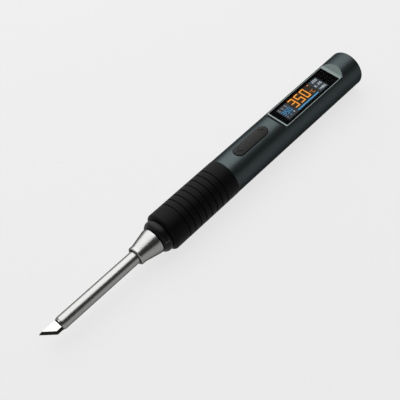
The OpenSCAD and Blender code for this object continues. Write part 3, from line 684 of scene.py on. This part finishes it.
SEAT, LEDGE_INSET, LEDGE_W = 0.05 * MM, 1.7 * MM, 9.7 * MM
seat_low, seat_high = [v - SEAT for v in glass_low[:2]], [v + SEAT for v in glass_high[:2]]
carve(housing, rounded_plate("glass_recess", seat_low, seat_high, 0.6, glass_low[2] - 0.1 * MM, crown_z))
carve(housing, extruded("screen_opening", oblong(
    glass_low[0] + LEDGE_INSET, AXIS_Y - LEDGE_W / 2, glass_high[0] - LEDGE_INSET, AXIS_Y + LEDGE_W / 2),
    AXIS_Z, crown_z, "z"))
soften(housing, 0.14, from_angle=24)

# Aluminium, fine blasted and anodised teal grey: a broad satin highlight over a dark cool ground.
anodised, tree = blank_material("aluminium_blasted_and_anodised")
where = add(tree, "ShaderNodeTexCoord")
blasting = add(tree, "ShaderNodeTexNoise", {"Vector": where.outputs["Object"], "Scale": 9000, "Detail": 2})
clouds = add(tree, "ShaderNodeTexNoise", {"Vector": where.outputs["Object"], "Scale": 150, "Detail": 3})
anodised_tone = add(tree, "ShaderNodeMixRGB", {
    "Fac": clouds.outputs[0], "Color1": srgb("#3B4142"), "Color2": srgb("#404748")})
blast_gloss = add(tree, "ShaderNodeMapRange", {"Value": blasting.outputs[0], "To Min": 0.34, "To Max": 0.44})
blast_relief = add(tree, "ShaderNodeBump", {
    "Height": blasting.outputs[0], "Strength": 1, "Distance": 0.002 * MM})
metal = add(tree, "ShaderNodeBsdfPrincipled", {
    "Base Color": anodised_tone.outputs[0], "Metallic": 0.9, "Roughness": blast_gloss.outputs[0],
    "Specular Tint": srgb("#303838"), "Normal": blast_relief.outputs[0]})
add(tree, "ShaderNodeOutputMaterial", {"Surface": metal.outputs[0]})
coat(housing, anodised)

# The long ramp behind the display has fine lines along the cut; its paler satin grey is a painted highlight,
# for the light falling on the facet.
coat(housing, lined_metal("aluminium_ramp_painted_highlight", "#525A58", (400, 6000, 6000), (0.3, 0.4), 0.03))
for face in housing.data.polygons:
    on_painted_highlight_ramp = face.center.x > flat_rear and abs(face.normal.y) < 0.02 and -0.9 < face.normal.x < -0.3
    face.material_index = int(on_painted_highlight_ramp)
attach(housing, "handle")
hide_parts("housing_tube")


# ---- Rocker key ----
# One moulded pill with a snap boss that rocks on a steel pin, and a nub over each of the two switches.
# Its crown follows the housing; an engraved chevron points each way, for down and for up.

key_top_r = (key_high[2] - AXIS_Z) / MM
KEY_UNDER, BOSS_HALF, BOSS_W, SNAP_HALF, NUB_R, NUB_UNDER, LEVER = (
    size * MM for size in (6.1, 1.3, 2.4, 0.35, 0.6, 4.68, 8))
pin_low, pin_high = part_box("rocker_pin")
PIN_R, PIN_Z = (pin_high[2] - pin_low[2]) / 2 + 0.03 * MM, (pin_low[2] + pin_high[2]) / 2
crown = [(0, 0, 0), (0, key_top_r, 0), (30, key_top_r, 0), (30, 0, 0)]
key = extruded("two_way_key", pill(key_at, key_len, key_w, 24), AXIS_Z + KEY_UNDER, SKY, "z")
carve(key, turned("crown_cutter", key_low[0] - 2 * MM, crown, sides=256), "INTERSECT")


def key_block(name, half_x, half_y, low_z, high_z):
    """A block across the key's middle, in metres."""
    return extruded(name, oblong(key_at[0] - half_x, AXIS_Y - half_y, key_at[0] + half_x, AXIS_Y + half_y),
                    low_z, high_z, "z")


def circle(middle, radius):
    """A small hole's or peg's round outline."""
    return arc(middle, radius, 0, 345, 23)


under_z = AXIS_Z + KEY_UNDER + 0.1 * MM
carve(key, key_block("boss", BOSS_HALF, BOSS_W / 2, PIN_Z - MM, under_z), "UNION")
for side in (-1, 1):
    nub = circle((key_at[0] + side * LEVER, AXIS_Y), NUB_R)
    carve(key, extruded("nub", nub, AXIS_Z + NUB_UNDER, under_z, "z"), "UNION")
carve(key, extruded("pin_hole", circle((key_at[0], PIN_Z), PIN_R), AXIS_Y - key_w, AXIS_Y + key_w, "y"))
carve(key, key_block("snap_slit", SNAP_HALF, BOSS_W, PIN_Z - 2 * MM, PIN_Z))

CHEVRON_ARM, CHEVRON_W, CHEVRON_SPREAD, CHEVRON_DEPTH = 2.4, 0.42, math.radians(36), 0.3
arm = Vector((-math.cos(CHEVRON_SPREAD), math.sin(CHEVRON_SPREAD))) * CHEVRON_ARM
beside = Vector((math.sin(CHEVRON_SPREAD), math.cos(CHEVRON_SPREAD))) * CHEVRON_W / 2
arm_end = [arm + beside, arm - beside]
thick = CHEVRON_W / 2 / math.sin(CHEVRON_SPREAD)
chevron = [(thick, 0), *arm_end, (-thick, 0), *((x, -y) for x, y in reversed(arm_end))]
chevron_place = {side: carried_at(IMAGE_POINTS[name], key)
                 for side, name in ((-1, "front_chevron"), (1, "rear_chevron"))}
for side in (-1, 1):
    middle = CHEVRON_ARM * math.cos(CHEVRON_SPREAD) / 2
    apex = Vector((chevron_place[side].x + side * middle * MM, AXIS_Y))
    carve(key, extruded("chevron_cutter", [apex + MM * Vector((side * x, y)) for x, y in chevron],
                        AXIS_Z + (key_top_r - CHEVRON_DEPTH) * MM, SKY, "z"))
soften(key, 0.2, from_angle=40)

# Charcoal ABS with a fine spark texture.
coat(key, grained("abs_moulded_charcoal", "#161514", "#1D1C1B", 7000, (0.5, 0.62), 1.5, 0.4, shine=0.15))
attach(key, "rocker")
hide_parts("rocker_key")


# ---- Display frame ----
# Machined aluminium surround, bead blasted and lightly anodised, glued down on the housing's flat.
# It stands a little above the glass all round, with a broad strip at the rear.

FRAME_CORNER, GLASS_CORNER = 0.7, 0.5
bezel = rounded_plate("display_surround", bezel_low, bezel_high, FRAME_CORNER, bezel_low[2], bezel_high[2])
carve(bezel, rounded_plate("glass_hole", seat_low, seat_high, GLASS_CORNER, AXIS_Z, SKY))
soften(bezel, 0.1)
# a thin black strip of painted shade lies on the bare strip of the flat in front of the surround
painted_shade_strip = rounded_plate("painted_shade_strip_before_surround", (flat_front + 0.03 * MM, bezel_low[1] + 0.2 * MM),
                        (bezel_low[0] - 0.01 * MM, bezel_high[1] - 0.2 * MM), 0.15, FLAT_Z - 0.03 * MM,
                        FLAT_Z + 0.1 * MM)
soften(painted_shade_strip, 0.05)
# Painted shade: black with a dull skin, standing for the dark line where shade falls in front of the
# surround.
coat(painted_shade_strip, grained("painted_shade_black", "#060606", "#0A0A0A", 1500, (0.6, 0.7), 1.41, 0.3,
                      shine=0.1))
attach(painted_shade_strip, "handle")

# Machined aluminium: fine lines along the iron under a bright, faintly green satin.
coat(bezel, lined_metal("aluminium_machined_and_brushed", "#5E6765", (400, 6000, 6000), (0.34, 0.44), 0.03))
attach(bezel, "handle")
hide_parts("display_bezel")


# ---- Cover glass ----
# A slab of clear glass with ground edges, printed black behind all but the window over the screen's lit area.
# It drops into the surround and sits on an adhesive gasket.

PRINT_T, LIT_FRONT, LIT_LEN, LIT_W, LIT_ASIDE = (size * MM for size in (0.05, 3.7, 28.8, 8, 0.45))
glass = rounded_plate("cover_glass", glass_low, glass_high, GLASS_CORNER, glass_low[2] + PRINT_T,
                      glass_high[2])
soften(glass, 0.08)
lit_low = (glass_low[0] + LIT_FRONT, AXIS_Y + LIT_ASIDE - LIT_W / 2)
lit_high = (lit_low[0] + LIT_LEN, lit_low[1] + LIT_W)
print_ring = rounded_plate("black_glass_print", [v + 0.02 * MM for v in glass_low[:2]],
                           [v - 0.02 * MM for v in glass_high[:2]], GLASS_CORNER, glass_low[2],
                           glass_low[2] + 0.9 * PRINT_T)
carve(print_ring, rounded_plate("window", lit_low, lit_high, 0.2, glass_low[2] - MM, glass_low[2] + MM))
soften(print_ring)

# Clear glass, etched and coated against glare: nearly all light passes, so the print behind stays deep black.
clear_glass, tree = blank_material("cover_glass_etched_and_coated")
where = add(tree, "ShaderNodeTexCoord")
wave = add(tree, "ShaderNodeTexNoise", {"Vector": where.outputs["Object"], "Scale": 250, "Detail": 1})
wave_relief = add(tree, "ShaderNodeBump", {
    "Height": wave.outputs[0], "Strength": 0.05, "Distance": 0.01 * MM})
pane = add(tree, "ShaderNodeBsdfPrincipled", {
    "Base Color": srgb("#020202"), "Roughness": 0.2, "IOR": 1.5, "Specular IOR Level": 0.1, "Alpha": 0.05,
    "Normal": wave_relief.outputs[0]})
add(tree, "ShaderNodeOutputMaterial", {"Surface": pane.outputs[0]})
coat(glass, clear_glass)
# Screen-printed ink: dead matt and the deepest black on the iron.
coat(print_ring, grained("screen_print_matt_black", "#010101", "#020202", 4000, (0.9, 1), 1.5, 0.01, shine=0))
for piece in (glass, print_ring):
    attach(piece, "handle")
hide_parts("display_glass")


# ---- Lit screen ----
# A small colour screen module: a thin glass sandwich, lit where it shows figures, bars and signs.
# It shows the set temperature large, a second reading, a level bar and three small ones, all plain numbers.

panel_low, panel_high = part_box("display_panel")
screen = rounded_plate("screen_module", panel_low, panel_high, 0.3, panel_low[2], panel_high[2] - 0.03 * MM)
soften(screen, 0.05)
# The module's unlit glass: blue-black with a soft gloss.
coat(screen, grained("screen_glass_sandwich_dark", "#04060A", "#070A10", 2000, (0.1, 0.2), 1.5, 0.01))
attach(screen, "handle")
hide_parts("display_panel")

SEGMENTS = {"0": "abcdef", "1": "bc", "2": "abged", "3": "abgcd", "4": "fgbc", "5": "afgcd", "8": "abcdefg",
            "C": "afed", "o": "abgf"}


def strokes(sign, left, top, width, height, stroke):
    """One seven-segment sign's bars, as (left, top, right, bottom) in mm from the screen's upper left."""
    right, middle, bottom = left + width, top + height / 2, top + height
    above, below = middle - stroke / 2, middle + stroke / 2
    bars = {"a": (left, top, right, top + stroke), "g": (left, above, right, below),
            "d": (left, bottom - stroke, right, bottom), "f": (left, top, left + stroke, below),
            "e": (left, above, left + stroke, bottom), "b": (right - stroke, top, right, below),
            "c": (right - stroke, above, right, bottom)}
    return [bars[bar] for bar in SEGMENTS[sign]]


def figures(text, left, top, width=0.8, height=1.2, stroke=0.18, step=1.15):
    """A row of signs, each one step to the right of the one before."""
    return [bar for i, sign in enumerate(text)
            for bar in strokes(sign, left + i * step, top, width, height, stroke)]


LAYERS = [  # name, colour, layer height, bars
    ("screen_ground", "#332E2A", 0, [(0, 0, 28.8, 8)]),
    ("screen_left_cell", "#3B3E41", 1, [(0.1, 0.1, 7, 7.9)]),
    ("screen_right_cells", "#3D474E", 1,
     [(23.2, top, 28.7, bottom) for top, bottom in ((0.1, 2.4), (2.7, 5.1), (5.4, 7.9))]),
    ("screen_grey_bars", "#8E9092", 2, [(0.9, 5.9, 1.4, 6.5)]
     + [(left, top, left + 0.9, top + 0.25) for left in (0.7, 2.8, 4.9) for top in (0.4, 1, 1.6)]),
    ("screen_blue_marks", "#4098D0", 2, [(7.35, 6.8, 22.2, 7.45), (3.2, 5.9, 3.55, 6.9)]
     + figures("350", 0.65, 2.5, 1.4, 2.65, 0.28, 1.95)),
    ("screen_orange_figures", "#FFA030", 2,
     figures("350", 7.9, 0.1, 2.9, 5.65, 0.6, 4.05) + [(21.8, 0.4, 22.5, 1)]),
    ("screen_orange_signs", "#B8742C", 2, strokes("o", 19.5, 3.9, 0.65, 1.1, 0.22)
     + strokes("C", 20.6, 3.7, 1.4, 2, 0.35)),
    ("screen_white_figures", "#D6DCE0", 2, figures("200", 24.9, 0.65) + figures("5", 23.8, 3.3)
     + [(24.95, 4.25, 25.25, 4.5)] + figures("20", 26.05, 3.3) + figures("1480", 23.75, 5.95)
     + [(5.4, 5.9, 5.9, 6.5)]),
]
LAYER_STEP, CELL, SCREEN_GLOW = 0.004 * MM, 0.11 * MM, 1.5


def lit_pixels(name, colour):
    """A lit area of the screen: its own colour on a fine grid of square picture cells."""
    material, tree = blank_material(name)
    cells = add(tree, "ShaderNodeTexBrick", {
        "Vector": add(tree, "ShaderNodeTexCoord").outputs["Object"], "Color1": srgb(colour),
        "Color2": srgb(colour), "Mortar": srgb("#000000"), "Scale": 1, "Mortar Size": 0.008 * MM,
        "Mortar Smooth": 0.3, "Brick Width": CELL, "Row Height": CELL}, offset=0, squash=1)
    glow = add(tree, "ShaderNodeEmission", {"Color": cells.outputs["Color"], "Strength": SCREEN_GLOW})
    add(tree, "ShaderNodeOutputMaterial", {"Surface": glow.outputs[0]})
    return material


for name, colour, layer, bars in LAYERS:
    level = panel_high[2] - 0.03 * MM + (1 + layer) * LAYER_STEP
    corners, faces = [], []
    for left, top, right, bottom in bars:
        cut = 0.3 * min(right - left, bottom - top, 1)  # each bar's corners are cut off
        faces.append(tuple(len(corners) + i for i in range(8)))
        corners += [(lit_low[0] + MM * x, lit_high[1] - MM * y, level) for x, y in (
            (left, bottom - cut), (left + cut, bottom), (right - cut, bottom), (right, bottom - cut),
            (right, top + cut), (right - cut, top), (left + cut, top), (left, top + cut))]
    lit = placed(name, meshed(name, corners, faces))
    coat(lit, lit_pixels("lit_pixels" + name[6:], colour))
    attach(lit, "handle")


# ---- Rear plug ----
# A moulded black plug that closes the housing, with a shallow lip round the USB-C inlet's opening.
# Two small pan-head screws hold it to the chassis.

plug_low, plug_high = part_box("end_plug")
plug_len, PLUG_R = measured(plug_low, plug_high)
shell_low, shell_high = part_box("usb_shell")
screws_low, screws_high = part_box("end_screws")
head_top = (screws_high[0] - screws_low[0]) / MM
INLET_Z = (shell_low[2] + shell_high[2]) / 2
INLET_W, INLET_H = shell_high[1] - shell_low[1], shell_high[2] - shell_low[2]


def inlet_outline(grow):
    """The inlet's flat outline with round ends, in (Y, Z), grown by so many metres on every side."""
    return pill((AXIS_Y, INLET_Z), INLET_W + 2 * grow, INLET_H + 2 * grow, 12)


RIM_W, FACE_SUNK = 0.8, 0.15
plug = turned("moulded_end_plug", plug_low[0], [
    (0, 0, 0), (0, PLUG_R, 0), (plug_len, PLUG_R, 0.25), (plug_len, PLUG_R - RIM_W, 0.05),
    (plug_len - FACE_SUNK, PLUG_R - RIM_W - FACE_SUNK, 0.05), (plug_len - FACE_SUNK, 0, 0)])
carve(plug, extruded("inlet_cutter", inlet_outline(0.1 * MM), plug_low[0] - MM, plug_high[0] + MM, "x"))
HEAD_R, HEAD_T, SHAFT_R, HEAD_GAP = 1.25, 0.8, 0.75, 0.05
SCREW_Z, SCREW_Y = (screws_low[2] + screws_high[2]) / 2, (screws_high[1] - screws_low[1]) / 2 - HEAD_R * MM
for side in (-1, 1):
    carve(plug, shifted(turned("head_cutter", plug_high[0] - (HEAD_T + HEAD_GAP) * MM, [
        (0, 0, 0), (0, HEAD_R + HEAD_GAP, 0), (2, HEAD_R + HEAD_GAP, 0), (2, 0, 0)], 48),
        side * SCREW_Y, SCREW_Z - AXIS_Z))
soften(plug, 0.05)
# Moulded ABS: black with a soft sheen.
coat(plug, grained("abs_moulded_black", "#0D0D0D", "#121212", 6000, (0.42, 0.52), 1.5, 0.03))
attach(plug, "handle")
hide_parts("end_plug")

# Zinc-plated steel: a pale grey, slightly clouded mirror.
screw_steel = lined_metal("screw_steel_zinc_plated", "#A9A9AC", (3000, 3000, 3000), (0.25, 0.38), 0.05)
CROSS_HALF, CROSS_HALF_W, CROSS_DEPTH = 0.75 * MM, 0.18 * MM, 0.4 * MM
for side in (-1, 1):
    screw = turned("end_screw_" + ("near" if side < 0 else "far"), screws_low[0], [
        (0, 0, 0), (0, SHAFT_R - 0.25, 0), (0.4, SHAFT_R, 0), (head_top - HEAD_T, SHAFT_R, 0),
        (head_top - HEAD_T, HEAD_R, 0.03), (head_top - 0.25, HEAD_R, 0.15), (head_top, HEAD_R - 0.4, 0.2),
        (head_top, 0, 0)], 64)
    for half_y, half_z in ((CROSS_HALF, CROSS_HALF_W), (CROSS_HALF_W, CROSS_HALF)):
        bar = oblong(AXIS_Y - half_y, AXIS_Z - half_z, AXIS_Y + half_y, AXIS_Z + half_z)
        carve(screw, extruded("cross_cutter", bar, screws_high[0] - CROSS_DEPTH, screws_high[0] + MM, "x"))
    shifted(screw, side * SCREW_Y, SCREW_Z - AXIS_Z)
    soften(screw, 0.03)
    coat(screw, screw_steel)
    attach(screw, "handle")
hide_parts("end_screws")


# ---- USB-C inlet ----
# A deep-drawn steel shell with a rolled mouth, which stands in the rear plug's opening.
# A moulded tongue in it carries twelve gold contacts on each side.

WALL, BACK = 0.3 * MM, 1.0 * MM
shell = extruded("inlet_shell", inlet_outline(0), shell_low[0], shell_high[0], "x")
carve(shell, extruded("shell_hollow", inlet_outline(-WALL), shell_low[0] + BACK, shell_high[0] + MM, "x"))
soften(shell, 0.08)
# Deep-drawn stainless steel: a pale mirror with fine drawing lines.
coat(shell, lined_metal("stainless_steel_deep_drawn", "#B4B4B2", (900, 4000, 4000), (0.2, 0.32), 0.05))
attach(shell, "handle")
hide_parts("usb_shell")

tongue_low, tongue_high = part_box("usb_tongue")
tongue = extruded("inlet_tongue", oblong(*tongue_low[1:], *tongue_high[1:]), tongue_low[0],
                  tongue_high[0], "x")
soften(tongue, 0.08)
# Moulded liquid-crystal plastic: black and nearly matt.
coat(tongue, grained("lcp_moulded_black", "#101010", "#151515", 5000, (0.45, 0.55), 1.5, 0.02))
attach(tongue, "handle")
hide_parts("usb_tongue")

CONTACT_PITCH, CONTACT_W, CONTACT_PROUD = 0.5, 0.26, 0.03
contact_points, contact_faces = [], []
for face_z, out in ((tongue_high[2], 1), (tongue_low[2], -1)):
    for i in range(12):
        middle = AXIS_Y + (i - 5.5) * CONTACT_PITCH * MM
        base = len(contact_points)
        contact_points += [(x, middle + side * CONTACT_W / 2 * MM, face_z + out * rise * MM)
                           for x in (tongue_low[0] + MM, tongue_high[0] - 0.9 * MM) for side in (-1, 1)
                           for rise in (-0.02, CONTACT_PROUD)]
        contact_faces += [tuple(base + k for k in quad) for quad in (
            (0, 1, 3, 2), (4, 5, 7, 6), (0, 1, 5, 4), (2, 3, 7, 6), (0, 2, 6, 4), (1, 3, 7, 5))]
inlet_contacts = linked("inlet_contacts", meshed("inlet_contacts", contact_points, contact_faces))
soften(inlet_contacts)
# Gold over bronze: a bright, warm yellow.
gold = lined_metal("gold_plated_bronze", "#E2B565", (2000, 2000, 2000), (0.18, 0.28), 0.03)
coat(inlet_contacts, gold)
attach(inlet_contacts, "handle")


# ---- Cartridge's inside ----
# A fired alumina heater core is cemented in the barrel; behind it is a turned, heat-proof plastic stem.
# Two gold-plated rings are pressed on the stem as contacts. All three keep the CAD's shapes.

def finished(material, *names):
    """Gives CAD nodes, which keep their shape, a material."""
    for name in names:
        frame["nodes"][name].material_slots[0].material = material


# Fired alumina: a bright, dead matt, slightly grainy white.
finished(grained("alumina_fired_white", "#DDD9CE", "#E8E5DC", 2500, (0.6, 0.75), 1.76, 0.6), "heater_core")
# Turned PEEK: warm cream with a low gloss.
finished(grained("peek_turned_cream", "#CDC3A6", "#D6CCB1", 3000, (0.38, 0.48), 1.6, 0.2), "cartridge_stem")
finished(gold, "contact_rings")


# ---- Collet and seal ----
# A split brass collet, turned and sawn, that the nut squeezes on the barrel.
# A black silicone O-ring on the nose's stem closes the joint to the housing.

# Turned brass: warm yellow with rings left by the tool.
finished(lined_metal("brass_turned", "#C6A55A", (6000, 40, 40), (0.25, 0.36), 0.02), "collet")
# Moulded seal rubber: deep black with a dull sheen.
finished(grained("silicone_moulded_seal_black", "#0A0A0A", "#0E0E0E", 2500, (0.4, 0.5), 1.41, 0.1, shine=0.2),
         "nose_seal")


# ---- Key's seat ----
# A bracket of glass-filled nylon, screwed in the housing, holds the key's ground steel pin.
# Two switches stand under the key's nubs; their white acetal plungers push it back to the middle.

# Ground steel: a cool grey mirror with fine lines round the pin.
finished(lined_metal("steel_ground_bright", "#A6A6A6", (40, 6000, 6000), (0.2, 0.3), 0.01), "rocker_pin")
# Moulded nylon: matt dark grey, a little mottled by its glass fibres.
dark_nylon = grained("glass_filled_nylon_moulded_grey", "#2E2E30", "#37373A", 2500, (0.5, 0.65), 1.5, 0.5)
finished(dark_nylon, "key_bracket", "chassis")
finished(screw_steel, "bracket_screws", "spacer_screws")
# Moulded PBT: smooth near-black with a soft gloss.
finished(grained("pbt_moulded_near_black", "#1C1C1E", "#222224", 3000, (0.38, 0.46), 1.55, 0.1),
         "switch_bodies", "board_header")
# Moulded acetal: waxy off-white.
acetal = grained("acetal_moulded_white", "#D8D5CC", "#E0DDD5", 2000, (0.35, 0.45), 1.48, 0.1)
finished(acetal, "plunger_front", "plunger_rear", "panel_frame")


# ---- Display's seat ----
# A black foam gasket under the glass and an amber flexible circuit from the screen to the control board.
# The screen's white frame is moulded of the plungers' acetal.

# Closed-cell foam tape: black and dead matt with visible cells.
finished(grained("acrylic_foam_tape_black", "#0C0C0C", "#161616", 4000, (0.85, 0.95), 1.47, 2, shine=0.2),
         "glass_gasket")
# Polyimide film: clear amber brown with a gloss.
finished(grained("polyimide_film_amber", "#A8691A", "#B8761F", 800, (0.22, 0.32), 1.7, 0.05), "display_flex")


# ---- Boards ----
# Two glass-epoxy boards, joined by a pin header and brass spacers, slide in the chassis.
# They carry black epoxy chips and transistors, a pressed powder inductor and tan ceramic capacitors.

# Solder mask: satin deep green over the weave of the glass cloth.
finished(grained("solder_mask_over_glass_epoxy", "#0C4A2C", "#125634", 1500, (0.28, 0.4), 1.5, 0.3),
         "control_board", "power_board")
# Moulded epoxy: matt black with a fine mineral grain.
finished(grained("epoxy_moulded_black", "#141414", "#1B1B1B", 5000, (0.5, 0.62), 1.55, 0.4), "control_chips",
         "power_transistors")
# Hex brass: bright, drawn lengthwise.
finished(lined_metal("brass_drawn_hex", "#C9A961", (5000, 5000, 60), (0.25, 0.35), 0.02), "board_spacers")
# Pressed iron powder: rough dark grey with sparkling grains.
finished(grained("iron_powder_pressed", "#343436", "#4A4A4C", 5000, (0.55, 0.7), 1.8, 1), "inductor")
# Fired ceramic with a thin glaze: smooth tan.
finished(grained("ceramic_fired_tan", "#98784F", "#A58559", 1500, (0.35, 0.5), 1.6, 0.2), "capacitors")


# ---- Contact block ----
# A block moulded of heat-proof plastic behind the cartridge holds three leaf contacts of gold-plated bronze.
# The leaves press on the cartridge's rings and on its barrel.

# Moulded LCP: pale stone grey, matt, with flow marks.
finished(grained("lcp_moulded_pale", "#A9A592", "#B6B29F", 900, (0.5, 0.6), 1.6, 0.2), "contact_block")
finished(gold, "contact_springs")


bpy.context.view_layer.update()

graph = bpy.context.evaluated_depsgraph_get()
seen_vertices = []
for thing in bpy.context.scene.objects:
    if thing.type == "MESH" and thing is not sweep and not thing.hide_render:
        finished_mesh = thing.evaluated_get(graph).to_mesh()
        seen_vertices += [(*shows_at(vertex.co), vertex.co.copy()) for vertex in finished_mesh.vertices]
        thing.evaluated_get(graph).to_mesh_clear()


def in_view(place):
    """Whether nothing stands between the camera and a finished vertex."""
    way = place - camera.location
    hit, first = bpy.context.scene.ray_cast(graph, camera.location, way.normalized())[:2]
    return not hit or (first - camera.location).length > way.length - 0.05 * MM


shown_edges = {}
for edge, column, sign in (("left_x", 0, 1), ("right_x", 0, -1), ("top_y", 1, 1), ("bottom_y", 1, -1)):
    outermost = sorted(seen_vertices, key=lambda seen: sign * seen[column])
    shown_edges[edge] = next((seen[column] for seen in outermost if in_view(seen[2])), outermost[0][column])
point_offsets = {edge: round(shown_edges[edge] - at, 1) for edge, at in IMAGE_EDGES.items()}

shown_features = {
    "knife_point": min((vertex.co for vertex in tip.data.vertices), key=lambda co: co.x),
    "index_dash": sum((vertex.co for vertex in dash.data.vertices), Vector()) / len(dash.data.vertices),
    "glass_front_far": (glass_low[0], glass_high[1], glass_high[2]),
    "glass_front_near": (glass_low[0], glass_low[1], glass_high[2]),
    "glass_rear_far": (glass_high[0], glass_high[1], glass_high[2]),
    "glass_rear_near": (glass_high[0], glass_low[1], glass_high[2]),
}
for name, side in (("front_chevron", -1), ("rear_chevron", 1)):
    shown_features[name] = (chevron_place[side].x, AXIS_Y, AXIS_Z + key_top_r * MM)
for name, place in shown_features.items():
    shown = shows_at(place)
    point_offsets[name] = [round(shown[i] - IMAGE_POINTS[name][i], 1) for i in (0, 1)]
